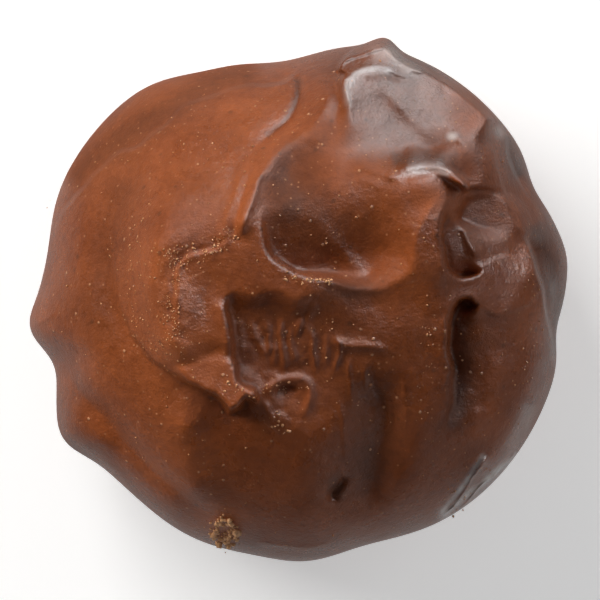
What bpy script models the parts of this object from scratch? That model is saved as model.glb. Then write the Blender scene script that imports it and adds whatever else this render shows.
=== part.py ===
"""Hand-dipped milk chocolate truffle, a single solid piece.

The body is a low dome with a dished crown, overlapping folds of coating, thumb-like hollows
and a flat underside.  It stands on the XY plane with its middle over the origin.
"""
import math

import bpy
import numpy as np

# ---------------------------------------------------------------- sizes, in millimetres
CROWN = 25.6            # height of the dome before its folds
WAIST = 8.2             # height of the widest section
GIRTH = 17.75           # plain radius of the widest section
DOME_P = 2.25           # fullness of the dome: 2 is an ellipse, more is boxier
PLAN_TAPER = 1 / 444.0  # the plan drawing closes in by this share for each mm above the waist
FOOT_IN = 0.80          # radius of the flat underside as a share of the waist

# swellings and dents of the widest section: bearing (deg, 0 = +X, 90 = +Y), rise, spread (deg)
WAIST_LOBES = (
    (9.5, 0.30, 6.0), (26.0, -0.48, 6.5), (52.0, 0.32, 26.0), (72.0, 0.72, 3.4),
    (95.0, -1.70, 15.0), (113.5, -0.68, 10.0), (170.0, -0.62, 11.5), (185.5, 0.55, 5.5),
    (195.0, -0.78, 7.0), (210.5, 0.80, 6.5), (227.0, -0.70, 18.0), (272.0, 0.83, 11.0),
    (276.0, -1.25, 22.0), (353.5, -0.48, 6.3),
)


def ease(t):
    t = np.clip(t, 0.0, 1.0)
    return t * t * (3.0 - 2.0 * t)


def waist_radius(bearing, narrowest=0.0):
    """Radius of the widest section at a bearing in radians, without the lobes narrower than asked."""
    deg = np.degrees(bearing)
    r = np.full(np.shape(deg), GIRTH)
    for centre, rise, spread in WAIST_LOBES:
        if spread >= narrowest:
            off = (deg - centre + 180.0) % 360.0 - 180.0
            r = r + rise * np.exp(-(off / spread) ** 2)
    return r


def dome_share(x, y):
    """Share of the way out to the waist; narrow lobes are felt only near the waist itself."""
    bearing, reach = np.arctan2(y, x), np.hypot(x, y)
    fine = np.minimum(reach / waist_radius(bearing), 1.0)
    broad = np.minimum(reach / waist_radius(bearing, 9.0), 1.0)
    near = ease((fine - 0.80) / 0.18)
    return fine * near + broad * (1.0 - near)


# ---------------------------------------------------------------- seeded noise
def _hash(ix, iy, iz, seed):
    n = (ix * 374761393 + iy * 668265263 + iz * 2147483647 + seed * 974634777) & 0xFFFFFFFF
    n = ((n ^ (n >> 13)) * 1274126177) & 0xFFFFFFFF
    n = ((n ^ (n >> 16)) * 2246822519) & 0xFFFFFFFF
    return ((n ^ (n >> 15)) & 0xFFFFFF) / float(0x800000) - 1.0


def noise(x, y, z, cell, seed):
    """Smooth noise from -1 to 1 whose bumps are about one cell across."""
    gx, gy, gz = x / cell, y / cell, z / cell
    ix, iy, iz = (np.floor(g).astype(np.int64) for g in (gx, gy, gz))
    fx, fy, fz = gx - ix, gy - iy, gz - iz
    fx, fy, fz = (f * f * f * (f * (f * 6.0 - 15.0) + 10.0) for f in (fx, fy, fz))
    out = 0.0
    for dx in (0, 1):
        wx = fx if dx else 1.0 - fx
        for dy in (0, 1):
            wy = fy if dy else 1.0 - fy
            for dz in (0, 1):
                wz = fz if dz else 1.0 - fz
                out = out + wx * wy * wz * _hash(ix + dx, iy + dy, iz + dz, seed)
    return out


def fractal(x, y, z, cell, seed, octaves=3, gain=0.5):
    out, amp, total = 0.0, 1.0, 0.0
    for k in range(octaves):
        out = out + amp * noise(x + 3.1 * k, y - 1.7 * k, z + 5.3 * k, cell / 2.0 ** k, seed + 17 * k)
        total += amp
        amp *= gain
    return out / total


# ---------------------------------------------------------------- folds drawn along smooth lines
def smooth_line(points, per=9):
    """A smooth line through a few named points."""
    p = np.asarray(points, float)
    if len(p) < 3:
        t = np.linspace(0.0, 1.0, per + 1)[:, None]
        return p[0] * (1 - t) + p[-1] * t
    ext = np.vstack([2 * p[0] - p[1], p, 2 * p[-1] - p[-2]])
    out = []
    for i in range(1, len(ext) - 2):
        a, b, c, d = ext[i - 1:i + 3]
        t = np.arange(per)[:, None] / float(per)
        out.append(0.5 * (2 * b + (c - a) * t + (2 * a - 5 * b + 4 * c - d) * t ** 2
                          + (3 * b - a - 3 * c + d) * t ** 3))
    out.append(p[-1:])
    return np.vstack(out)


def along(x, y, points, reach, fade):
    """Points within reach of a line: index, distance, side (-1 right .. 1 left), strength.

    Every stretch of the line pulls on a point with the fourth power of closeness, so the distance
    is exact beside the line and rounds off smoothly round its bends and past its ends.
    """
    line = smooth_line(points)
    lo, hi = line.min(0) - reach, line.max(0) + reach
    pick = np.nonzero((x > lo[0]) & (x < hi[0]) & (y > lo[1]) & (y < hi[1]))[0]
    px, py = x[pick], y[pick]
    pull = np.full(len(pick), 1e-12)
    side = np.zeros(len(pick))
    strength = np.zeros(len(pick))
    step = np.hypot(*(line[1:] - line[:-1]).T)
    length = np.concatenate([[0.0], np.cumsum(step)])
    for i in range(len(line) - 1):
        if step[i] < 1e-9:
            continue
        ux, uy = (line[i + 1] - line[i]) / step[i]
        rx, ry = px - line[i][0], py - line[i][1]
        s1 = rx * ux + ry * uy
        s0 = s1 - step[i]
        off = ux * ry - uy * rx
        hh = off * off + 1e-4
        w = (s1 * (2 * s1 * s1 + 3 * hh) / (hh + s1 * s1) ** 1.5
             - s0 * (2 * s0 * s0 + 3 * hh) / (hh + s0 * s0) ** 1.5) / (3 * hh * hh)
        t = np.clip(s1, 0.0, step[i])
        near = np.sqrt(hh + (s1 - t) ** 2)
        run = (length[i] + t) / length[-1]
        f = np.ones_like(run)
        if fade[0] > 0:
            f = f * ease(run / fade[0])
        if fade[1] > 0:
            f = f * ease((1.0 - run) / fade[1])
        w = np.maximum(w, 0.0)
        pull += w
        side += w * off / near
        strength += w * f
    return pick, (0.75 * pull) ** -0.25, side / pull, strength / pull


def ridge(x, y, z, points, rise, left, right, sharp=0.3, fade=(0.2, 0.2)):
    """A raised fold (or a groove, with a negative rise) with its own width on each side."""
    pick, dist, side, strength = along(x, y, points, 3.2 * max(left, right), fade)
    t = dist / (right + (left - right) * (0.5 + 0.5 * side))
    shape = (1 - sharp) * np.exp(-t ** 2) + sharp * np.exp(-1.7 * (np.sqrt(t ** 2 + 0.004) - 0.063))
    z[pick] += rise * shape * strength


def layer_edge(x, y, z, points, lift, cut, width, back, fore, fade=(0.15, 0.15)):
    """The edge of an overlapping layer: it stands proud on the left of the line, cut in on the right."""
    pick, dist, side, strength = along(x, y, points, 4.0 * max(back, fore), fade)
    u = ease(side * dist / width + 0.5)
    z[pick] += strength * (lift * u * np.exp(-dist / back) - cut * (1 - u) * np.exp(-dist / fore))


def patch(x, y, outline):
    """Share from 0 (outside) to 1 (inside) of a closed smooth outline of (x, y, wall width) points."""
    pts = np.asarray(outline, float)
    n = len(pts)
    per = 8
    ring = []
    for i in range(n):
        a, b, c, d = pts[i - 1], pts[i], pts[(i + 1) % n], pts[(i + 2) % n]
        t = np.arange(per)[:, None] / float(per)
        ring.append(0.5 * (2 * b + (c - a) * t + (2 * a - 5 * b + 4 * c - d) * t ** 2
                           + (3 * b - a - 3 * c + d) * t ** 3))
    ring = np.vstack(ring)
    lo, hi = ring.min(0), ring.max(0)
    pick = np.nonzero((x > lo[0]) & (x < hi[0]) & (y > lo[1]) & (y < hi[1]))[0]
    px, py = x[pick], y[pick]
    inside = np.zeros(len(pick), bool)
    weight = np.zeros(len(pick))
    wall = np.zeros(len(pick))
    best = np.full(len(pick), 1e9)
    for a, b in zip(ring, np.roll(ring, -1, axis=0)):
        ex, ey = b[0] - a[0], b[1] - a[1]
        size = ex * ex + ey * ey
        t = np.clip(((px - a[0]) * ex + (py - a[1]) * ey) / size, 0.0, 1.0)
        dist = (px - a[0] - t * ex) ** 2 + (py - a[1] - t * ey) ** 2
        best = np.minimum(best, dist)
        w = math.sqrt(size) / (dist + 0.02) ** 2
        weight += w
        wall += w * (a[2] + t * (b[2] - a[2]))
        if a[1] != b[1]:
            cross = ((a[1] > py) != (b[1] > py)) & (px < ex * (py - a[1]) / ey + a[0])
            inside ^= cross
    share = np.zeros_like(x)
    share[pick] = np.where(inside, ease(np.sqrt(best) / np.maximum(wall / weight, 0.05)), 0.0)
    return share


def swell(x, y, z, centre, half, turn, rise, power=2.0):
    """A soft oval swelling (or a dip, with a negative rise); a higher power is flatter on top."""
    c, s = math.cos(math.radians(turn)), math.sin(math.radians(turn))
    dx, dy = x - centre[0], y - centre[1]
    u, v = (dx * c + dy * s) / half[0], (-dx * s + dy * c) / half[1]
    z += rise * np.exp(-(u * u + v * v) ** (power / 2.0))


def press(x, y, z, outline, centre, level, slope, give=1.0):
    """Flatten a patch of the surface towards a tilted plane."""
    g = give * patch(x, y, outline)
    z += g * (level + slope[0] * (x - centre[0]) + slope[1] * (y - centre[1]) - z)
    return g


def blend_low(a, b, soft):
    """The lower of two surfaces, with the corner between them rounded off."""
    h = np.clip(0.5 + 0.5 * (b - a) / soft, 0.0, 1.0)
    return b * (1 - h) + a * h - soft * h * (1 - h)


def scoop(x, y, z, outline, centre, level, slope):
    """Scoop out a hollow with a slanting floor; outline points are (x, y, steepness of wall, softness).

    Where a wall is gentle the hollow simply runs out of the surface; where it is steep it has an edge.
    """
    pts = np.asarray(outline, float)
    n, per = len(pts), 8
    ring = []
    for i in range(n):
        a, b, c, d = pts[i - 1], pts[i], pts[(i + 1) % n], pts[(i + 2) % n]
        t = np.arange(per)[:, None] / float(per)
        ring.append(0.5 * (2 * b + (c - a) * t + (2 * a - 5 * b + 4 * c - d) * t ** 2
                           + (3 * b - a - 3 * c + d) * t ** 3))
    ring = np.vstack(ring)
    lo, hi = ring.min(0) - 7.0, ring.max(0) + 7.0
    pick = np.nonzero((x > lo[0]) & (x < hi[0]) & (y > lo[1]) & (y < hi[1]))[0]
    px, py = x[pick], y[pick]
    inside = np.zeros(len(pick), bool)
    weight, steep, round_off = np.zeros(len(pick)), np.zeros(len(pick)), np.zeros(len(pick))
    best = np.full(len(pick), 1e9)
    for a, b in zip(ring, np.roll(ring, -1, axis=0)):
        ex, ey = b[0] - a[0], b[1] - a[1]
        size = ex * ex + ey * ey
        t = np.clip(((px - a[0]) * ex + (py - a[1]) * ey) / size, 0.0, 1.0)
        dist = (px - a[0] - t * ex) ** 2 + (py - a[1] - t * ey) ** 2
        best = np.minimum(best, dist)
        w = math.sqrt(size) / (dist + 0.05) ** 2
        weight += w
        steep += w * (a[2] + t * (b[2] - a[2]))
        round_off += w * (a[3] + t * (b[3] - a[3]))
        if a[1] != b[1]:
            inside ^= ((a[1] > py) != (b[1] > py)) & (px < ex * (py - a[1]) / ey + a[0])
    soft = np.clip(round_off / weight, 0.04, 2.0)
    out = np.where(inside, -1.0, 1.0) * np.sqrt(best)
    out = 0.5 * (out + np.sqrt(out * out + soft * soft))
    dx, dy = px - centre[0], py - centre[1]
    cut = level + slope[0] * dx + slope[1] * dy + np.clip(steep / weight, 0.05, 12.0) * out
    z[pick] = blend_low(z[pick], cut, 0.15 + 0.8 * soft)


def spot(x, y, centre, half, turn=0.0, power=3.0):
    """Share from 1 in the middle of an oval to 0 well outside it."""
    z = np.zeros_like(x)
    swell(x, y, z, centre, half, turn, 1.0, power)
    return z


def streak(x, y, points, half, fade=(0.1, 0.1)):
    """Share from 1 on a line to 0 well away from it."""
    z = np.zeros_like(x)
    ridge(x, y, z, points, 1.0, half, half, 0.0, fade)
    return z


def surface(x, y):
    """Height over the waist, and share of the way out, for points of the plan drawing."""
    share = dome_share(x, y)
    still = np.zeros_like(x)
    x, y = (x + 0.24 * noise(x, y, still, 2.6, 41) + 0.10 * noise(x, y, still, 1.1, 43),
            y + 0.24 * noise(x, y, still, 2.6, 47) + 0.10 * noise(x, y, still, 1.1, 53))
    # the dome is fuller towards its upper right edge
    fuller = np.exp(-((np.arctan2(y, x) - 0.95) / 0.45) ** 2) * ease((share - 0.72) / 0.2)
    z = (CROWN - WAIST) * np.sqrt(np.maximum(1.0 - share ** (DOME_P + 1.7 * fuller), 0.0))

    # ---- broad forms -------------------------------------------------------------------------
    # the crown stands highest at the upper left
    swell(x, y, z, (-5.2, 5.6), (5.4, 4.0), 25.0, 0.8, 2.5)
    # the front is sunk, and the lower right a little
    swell(x, y, z, (-1.5, -8.0), (7.5, 6.5), 0.0, -1.1, 2.5)
    swell(x, y, z, (6.4, -5.0), (4.2, 5.5), 0.0, -1.1, 2.5)
    # shoulder right of the crown: a long slope facing left, then a sudden end
    ridge(x, y, z, [(9.0, 10.6), (9.4, 8.8), (9.7, 6.5), (9.6, 3.5), (9.3, 1.0), (8.9, -1.5)], 1.4, 0.9, 3.4, 0.1, (0.12, 0.5))
    swell(x, y, z, (7.3, 8.1), (1.9, 1.4), 8.0, 0.7, 2.0)
    ridge(x, y, z, [(8.8, 10.4), (9.2, 8.8), (9.5, 7.6), (9.7, 5.6), (9.6, 3.4)], 0.7, 0.8, 2.6, 0.1, (0.15, 0.45))
    # left flank: faces left as far as a soft edge, then turns down to the front
    ridge(x, y, z, [(-7.4, -5.4), (-7.9, -8.0), (-7.6, -11.0), (-6.6, -15.0)], 1.3, 1.7, 4.2, 0.0, (0.3, 0.25))
    swell(x, y, z, (-11.8, -11.6), (6.0, 2.0), -45.0, 1.2, 2.0)
    swell(x, y, z, (-14.7, 2.0), (2.8, 5.8), 6.0, 0.8, 2.0)
    # the long channel right of the front bulge
    ridge(x, y, z, [(4.2, -4.4), (5.4, -7.0), (5.5, -10.0), (4.4, -13.0), (3.4, -15.2)], -1.3, 1.3, 2.4, 0.0, (0.25, 0.3))
    # upper right face, flatter than the dome
    press(x, y, z, [(2.4, 10.0, 2.0), (2.3, 13.0, 0.8), (2.6, 15.2, 0.6), (4.4, 15.9, 0.6), (6.4, 15.9, 0.6), (9.4, 16.2, 0.6), (11.7, 14.8, 0.6),
                    (13.5, 13.1, 0.8), (13.0, 10.7, 1.5), (10.0, 9.8, 1.0), (7.8, 9.6, 0.9), (5.0, 8.8, 2.2)],
          (6.2, 12.4), 12.2, (-0.40, -0.40), 0.94)
    press(x, y, z, [(2.6, 15.6, 0.3), (3.6, 16.9, 0.3), (5.4, 17.6, 0.25), (6.6, 17.3, 0.25), (7.9, 16.4, 0.3), (9.2, 15.8, 0.3),
                    (7.0, 14.5, 0.5), (5.0, 15.0, 0.5), (3.6, 14.9, 0.4)],
          (5.6, 16.3), 10.6, (-0.38, -0.42), 0.92)
    # slope below the right-hand lump
    press(x, y, z, [(10.3, 5.4, 0.8), (11.0, 6.9, 0.6), (13.2, 7.5, 0.8), (15.4, 6.6, 1.4), (15.6, 4.4, 1.4), (13.4, 3.8, 1.4),
                    (11.4, 4.4, 1.0)],
          (12.8, 5.8), 10.9, (-0.42, -0.06), 0.9)

    swell(x, y, z, (4.4, -0.2), (3.0, 1.9), 10.0, -0.8, 2.2)
    # ---- thumb hollow: scooped slantwise, sharp at its left and front, deepest at the lower right ---
    scoop(x, y, z, [(-1.3, 9.2, 0.9, 0.5), (-2.0, 7.6, 1.2, 0.35), (-2.1, 6.0, 1.8, 0.25), (-1.95, 4.2, 2.6, 0.12), (-1.35, 2.8, 6.0, 0.08), (-0.4, 2.1, 9.0, 0.06),
                    (1.2, 1.8, 7.0, 0.10), (2.7, 1.5, 5.0, 0.3), (3.9, 1.6, 2.0, 0.9), (4.5, 2.3, 0.70, 1.6), (4.4, 3.6, 0.42, 1.6),
                    (3.6, 5.4, 0.36, 1.6), (2.2, 7.8, 0.30, 1.4), (0.4, 9.4, 0.40, 1.0)],
          (1.0, 4.2), 15.6, (-0.26, 0.30))
    # ---- rough sunken middle: a step down from the ledge above it, sloping to the front -----------
    scoop(x, y, z, [(-4.5, 0.1, 2.0, 0.3), (-3.2, -0.5, 1.4, 0.4), (-1.6, -0.3, 1.2, 0.4), (-0.4, -0.8, 1.3, 0.4), (1.0, -0.5, 1.1, 0.5),
                    (2.6, -1.4, 0.7, 0.7), (3.8, -2.4, 0.35, 1.2), (3.4, -4.6, 0.15, 1.2), (1.4, -5.6, 0.12, 1.2), (-1.2, -5.2, 0.2, 1.0),
                    (-2.8, -4.7, 0.9, 0.5), (-3.9, -4.3, 2.4, 0.2), (-4.4, -3.2, 3.0, 0.1), (-4.55, -1.4, 3.0, 0.1)],
          (-1.0, -2.5), 15.45, (-0.02, 0.25))
    ridge(x, y, z, [(-4.95, 0.4), (-5.0, -1.6), (-4.8, -3.6), (-4.4, -4.8)], 0.35, 0.3, 0.8, 0.3, (0.2, 0.2))

    # ---- oval hollow ---------------------------------------------------------------------------
    layer_edge(x, y, z, [(9.9, 6.6), (9.6, 5.0), (9.6, 3.2), (9.9, 2.1), (10.7, 1.6), (11.6, 1.75), (12.1, 2.3)][::-1],
               0.20, 2.3, 0.35, 0.5, 1.3, (0.15, 0.25))
    # ---- long groove, upright on its left ------------------------------------------------------
    layer_edge(x, y, z, [(11.9, -0.6), (11.1, -0.1), (10.4, -0.4), (10.15, -1.4), (10.1, -3.6), (10.05, -5.8), (9.8, -7.6), (9.3, -9.4)][::-1],
               0.25, 2.3, 0.42, 1.2, 2.0, (0.45, 0.06))

    # ---- left side -----------------------------------------------------------------------------
    # broad shoulder that sweeps down the left of the crown and hooks round to a pointed lip
    ridge(x, y, z, [(-7.2, 8.8), (-9.1, 5.5), (-9.6, 2.2), (-9.2, -0.9), (-8.0, -3.2), (-6.0, -4.8), (-4.2, -6.0)],
          2.2, 2.7, 1.6, 0.1, (0.35, 0.35))
    # the lip itself, tilted up towards its point
    press(x, y, z, [(-8.6, -4.3, 1.0), (-7.0, -3.0, 2.0), (-5.2, -2.7, 1.8), (-4.3, -3.8, 0.5), (-3.6, -5.2, 0.4), (-2.6, -6.0, 0.4),
                    (-2.7, -6.8, 0.35), (-3.4, -6.7, 0.35), (-3.9, -7.1, 0.4), (-4.6, -7.3, 0.4), (-5.2, -6.6, 0.35), (-6.6, -5.9, 0.3),
                    (-8.0, -5.2, 0.4)],
          (-4.8, -5.6), 17.0, (0.10, -0.08), 0.95)
    # its outer edge overlaps the skin below, most of all near the lip
    layer_edge(x, y, z, [(-12.0, 5.2), (-12.3, 2.4), (-12.1, -0.2), (-11.2, -2.3), (-9.9, -3.9), (-8.3, -5.0), (-6.5, -5.8), (-5.2, -6.4),
                         (-4.6, -7.0), (-3.9, -6.9), (-3.3, -6.5), (-2.6, -6.7)],
               0.15, 0.9, 0.22, 0.9, 1.4, (0.5, 0.05))
    # long shallow valley outside the shoulder
    ridge(x, y, z, [(-10.3, 11.0), (-12.2, 6.5), (-12.9, 2.5), (-12.5, -1.5), (-11.0, -5.0)], -0.9, 1.2, 1.5, 0.0, (0.4, 0.4))
    # inner layer edge, crumbly
    layer_edge(x, y, z, [(-7.8, -2.9), (-8.4, -0.6), (-8.2, 1.6), (-7.2, 2.9), (-5.6, 3.6), (-4.6, 4.4)][::-1],
               0.10, 0.20, 0.3, 0.6, 1.2, (0.1, 0.3))
    # the inner coat laps over the outer one at the upper left, which ends in a nearly level terrace
    layer_edge(x, y, z, [(0.2, 15.2), (-1.6, 14.5), (-4.6, 14.1), (-7.4, 12.9), (-9.6, 11.3), (-12.0, 9.8), (-14.3, 7.8),
                         (-15.6, 6.3), (-16.6, 4.0)], 0.25, 0.7, 0.35, 1.0, 1.6, (0.05, 0.1))

    # ---- upper middle ------------------------------------------------------------------------
    # folded strip from the rim down to the crown
    ridge(x, y, z, [(1.9, 15.4), (1.5, 12.8), (0.2, 11.0), (-1.7, 9.6), (-3.2, 7.4), (-3.6, 5.6), (-3.9, 4.2)], 0.85, 1.3, 0.9, 0.25, (0.15, 0.1))
    # crease along its left
    ridge(x, y, z, [(-0.1, 15.2), (-0.2, 13.5), (-1.1, 11.9), (-2.4, 10.9), (-3.6, 10.2)], -0.50, 0.30, 0.45, 0.5, (0.1, 0.35))
    # twin ridges either side of a narrow groove
    ridge(x, y, z, [(-3.6, 9.6), (-4.3, 7.8), (-4.7, 6.1), (-5.0, 4.7), (-5.5, 3.9)], 0.16, 0.25, 0.3, 0.6, (0.3, 0.1))
    ridge(x, y, z, [(-3.1, 9.2), (-3.7, 7.5), (-4.1, 5.8), (-4.4, 4.4)], -0.26, 0.28, 0.28, 0.5, (0.3, 0.1))
    ridge(x, y, z, [(-2.3, 9.0), (-2.9, 7.6), (-3.2, 6.2), (-3.7, 4.8), (-4.0, 4.2)], 0.20, 0.30, 0.25, 0.7, (0.2, 0.15))
    # dark dip right of the strip
    ridge(x, y, z, [(0.9, 11.4), (0.0, 9.4), (-0.8, 7.4), (-1.0, 6.2)], -0.35, 1.6, 1.5, 0.0, (0.4, 0.3))

    # ---- right side ----------------------------------------------------------------------------
    # sharp seam on the face of the shoulder
    ridge(x, y, z, [(9.1, 7.2), (8.3, 5.2), (7.7, 3.9), (7.3, 2.6), (7.0, 1.9)], 0.16, 0.5, 0.14, 0.9, (0.2, 0.2))
    # blade standing in the oval hollow
    ridge(x, y, z, [(10.7, 5.6), (11.2, 4.2), (12.0, 2.6)], 0.5, 0.6, 0.30, 0.5, (0.3, 0.3))
    # ridge to the right of the groove, curving down to the lower edge
    ridge(x, y, z, [(14.9, 4.4), (15.8, 2.0), (16.1, -0.5), (16.0, -3.5), (15.0, -7.0), (13.2, -10.0), (10.4, -13.4)],
          1.5, 0.8, 2.2, 0.1, (0.15, 0.2))
    # shoulder's bright upper edge, and the dip above it
    press(x, y, z, [(5.9, 7.9, 0.4), (7.2, 8.15, 0.35), (8.6, 8.35, 0.35), (9.8, 7.9, 0.35), (10.8, 7.2, 0.3), (11.1, 7.6, 0.3),
                    (10.2, 8.8, 0.35), (8.7, 9.35, 0.35), (7.3, 9.1, 0.35), (6.0, 8.5, 0.35)],
          (8.5, 8.8), 15.5, (-0.10, -0.53), 0.95)
    # lump on the upper right
    swell(x, y, z, (11.9, 9.9), (2.0, 2.2), 30.0, 0.9, 3.0)
    layer_edge(x, y, z, [(10.2, 6.4), (10.9, 7.3), (12.0, 7.55), (13.6, 7.5)], 0.35, 0.35, 0.4, 0.8, 0.9, (0.2, 0.4))
    # tongue lying on the upper right face, with a raised point
    ridge(x, y, z, [(5.9, 14.6), (6.4, 13.4), (7.6, 12.1), (9.0, 10.7), (10.2, 10.2)], 0.12, 2.0, 0.35, 0.3, (0.25, 0.1))
    ridge(x, y, z, [(6.4, 14.4), (8.0, 13.1), (9.4, 12.0), (10.6, 11.2)], 0.035, 0.25, 0.25, 0.5, (0.2, 0.1))
    swell(x, y, z, (10.45, 10.95), (0.55, 0.35), -20.0, 0.35, 2.0)
    ridge(x, y, z, [(3.2, 14.6), (4.0, 15.4), (5.2, 15.6), (6.6, 15.2), (7.8, 14.8)], 0.14, 0.4, 0.3, 0.5, (0.2, 0.2))
    ridge(x, y, z, [(2.4, 15.0), (3.4, 16.0), (5.0, 16.6), (6.2, 17.0)], -0.18, 0.25, 0.3, 0.6, (0.15, 0.1))
    ridge(x, y, z, [(6.2, 17.0), (6.3, 16.3), (7.0, 15.8), (8.4, 15.2)], 0.16, 0.25, 0.2, 0.7, (0.1, 0.2))
    # two small wrinkles where the face meets the shoulder
    ridge(x, y, z, [(3.6, 9.1), (5.0, 8.6), (6.4, 8.1)], 0.14, 0.3, 0.25, 0.6, (0.3, 0.3))
    ridge(x, y, z, [(3.4, 8.0), (4.6, 7.8), (5.8, 7.4)], 0.10, 0.3, 0.25, 0.6, (0.3, 0.3))
    # right edge: a lower shelf outside the upper coat
    layer_edge(x, y, z, [(17.05, -4.8), (16.8, -2.7), (16.35, -0.6), (16.05, 1.4), (15.7, 3.4), (15.0, 4.6)],
               0.3, 3.6, 0.25, 0.8, 3.0, (0.2, 0.15))
    layer_edge(x, y, z, [(15.6, 6.9), (14.7, 8.0), (13.9, 9.4), (13.7, 10.8), (13.3, 12.4)],
               0.0, 2.4, 0.25, 0.8, 2.2, (0.3, 0.2))
    # thin folds running down the lower right edge
    ridge(x, y, z, [(13.2, -10.6), (12.0, -12.2), (10.8, -13.2)], -0.40, 0.35, 0.3, 0.4, (0.25, 0.25))
    ridge(x, y, z, [(12.5, -10.0), (11.6, -11.4), (10.6, -12.9), (9.2, -14.6)], 0.85, 0.36, 0.20, 0.8, (0.12, 0.15))
    ridge(x, y, z, [(14.7, -9.8), (13.4, -11.1), (11.9, -12.5), (10.4, -13.8), (9.2, -14.8)], 0.95, 0.36, 0.22, 0.8, (0.12, 0.15))
    ridge(x, y, z, [(15.9, -5.5), (15.4, -7.4), (14.8, -9.4)], 0.25, 0.30, 0.25, 0.6, (0.3, 0.3))

    # ---- lower middle ----------------------------------------------------------------------
    # pocked lump below the rough middle
    ridge(x, y, z, [(-2.3, -6.3), (-1.5, -5.6), (-0.6, -5.4), (0.3, -5.6), (0.8, -6.4), (0.6, -7.4), (-0.3, -8.1)],
          0.36, 0.30, 0.40, 0.4, (0.12, 0.3))
    ridge(x, y, z, [(-2.3, -6.4), (-2.1, -7.3), (-1.7, -8.2), (-1.0, -8.8)], 0.25, 0.35, 0.30, 0.5, (0.2, 0.3))
    layer_edge(x, y, z, [(0.0, -6.3), (-0.5, -5.9), (-1.1, -5.8), (-1.7, -6.2)][::-1], 0.1, 0.45, 0.2, 0.3, 0.8, (0.2, 0.2))
    # soft level ridge right of the rough middle
    ridge(x, y, z, [(1.6, -2.2), (2.6, -2.8), (3.6, -2.9), (5.0, -3.1), (6.6, -3.7)], 0.30, 0.45, 0.30, 0.4, (0.2, 0.4))
    # fine upright wrinkles inside it
    for line, rise in WRINKLES:
        ridge(x, y, z, line, rise, 0.17, 0.14, 0.5, (0.25, 0.3))
    # small sharp dent
    ridge(x, y, z, [(2.9, -11.4), (2.6, -12.3), (2.1, -12.9), (2.9, -13.2)], -0.6, 0.40, 0.35, 0.5, (0.2, 0.3))
    # a hair-fine fold along the front edge and one at the left tip
    ridge(x, y, z, [(-3.4, -15.9), (-1.5, -16.3), (0.6, -16.5), (2.4, -16.3)], 0.25, 0.3, 0.25, 0.7, (0.2, 0.2))
    ridge(x, y, z, [(-17.5, -1.6), (-16.8, -1.3), (-15.9, -0.8)], 0.20, 0.25, 0.2, 0.8, (0.1, 0.4))

    # ---- lower left skirt -----------------------------------------------------------------------
    ridge(x, y, z, [(-16.3, -3.0), (-15.2, -5.0), (-13.8, -7.0), (-11.8, -9.2), (-9.4, -11.6), (-7.2, -13.5), (-5.2, -15.0)],
          -0.8, 0.7, 0.9, 0.25, (0.2, 0.2))
    # a broken chip with a hole, near the lower left edge
    ridge(x, y, z, [(-5.7, -14.9), (-5.0, -14.7), (-4.4, -15.2), (-4.5, -15.9), (-5.2, -16.0), (-5.7, -15.5)], 0.40, 0.25, 0.25, 0.6, (0.1, 0.1))
    swell(x, y, z, (-5.1, -15.4), (0.30, 0.26), 0.0, -0.35, 2.0)

    # everything rounds over into the wall
    z = blend_low(z, (CROWN - WAIST + 4.0) * np.sqrt(np.maximum(1.0 - share ** 7, 0.0)), 0.8)
    return z, share


# upright wrinkles: line and how far each stands out (mm)
WRINKLES = [
    ([(-3.4, -1.2), (-3.1, -2.2), (-2.6, -3.1), (-2.2, -4.0)], 0.26),
    ([(-2.4, -1.4), (-2.1, -2.4), (-2.0, -3.8)], 0.28),
    ([(-1.7, -2.4), (-1.6, -3.4), (-1.7, -4.6)], 0.20),
    ([(-1.3, -1.0), (-1.2, -2.4), (-1.0, -3.6), (-1.1, -5.2)], 0.30),
    ([(-0.5, -1.4), (-0.6, -2.6), (-0.3, -4.4)], 0.22),
    ([(0.2, -0.9), (-0.1, -1.7), (-0.3, -2.4)], 0.26),
    ([(1.0, 0.1), (0.7, -0.6), (0.4, -1.4)], 0.26),
    ([(0.3, -1.5), (0.8, -2.4), (0.9, -3.4), (1.0, -5.2)], 0.28),
    ([(1.7, -1.8), (1.6, -3.0), (1.8, -4.4)], 0.18),
    ([(2.1, -2.3), (2.5, -3.1), (2.4, -4.8)], 0.26),
    ([(-3.9, -1.0), (-4.0, -2.4), (-3.6, -4.0)], 0.18),
    ([(3.2, -3.4), (3.4, -5.2), (3.6, -7.2)], 0.18),
    ([(4.3, -3.6), (4.6, -5.6), (5.1, -8.4)], 0.16),
    ([(5.5, -4.4), (5.9, -6.4), (5.9, -9.0)], 0.14),
    ([(2.5, -6.0), (2.9, -8.4), (3.2, -11.0)], 0.14),
    ([(6.9, -4.6), (7.2, -6.6), (7.2, -8.6)], 0.12),
]


def flank(x, y, z, fall):
    """How far the side stands out (mm), below the waist; fall is 0 at the waist and 1 at the underside."""
    turn = np.arctan2(y, x)
    level = WAIST * (1.0 - fall)
    out = 0.45 * fractal(x, y, z, 6.5, 31, 3, 0.45)
    lap = 4.6 + 1.1 * np.sin(2 * turn + 0.7) + 0.6 * np.sin(5 * turn - 0.4) + 0.35 * np.sin(9 * turn + 2.0)
    out += 0.28 * ease((level - lap) / 0.45 + 0.5)
    low = 1.5 + 0.5 * np.sin(3 * turn + 1.9) + 0.3 * np.sin(7 * turn)
    out += 0.35 * ease((low - level) / 0.5 + 0.5) * ease((level + 0.1) / 0.5)
    out += 0.16 * np.sin(23 * turn + 2.0 * np.sin(3 * turn)) * ease((lap - level) / 1.5)
    return out * ease(fall / 0.25)


# ---------------------------------------------------------------- the solid
MM = 0.001
GRID = 52            # faces across the dome, both ways
WALL_RINGS = 7       # rings of faces from the waist down to the underside
BASE_RINGS = 3       # rings of faces across the underside


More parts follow.
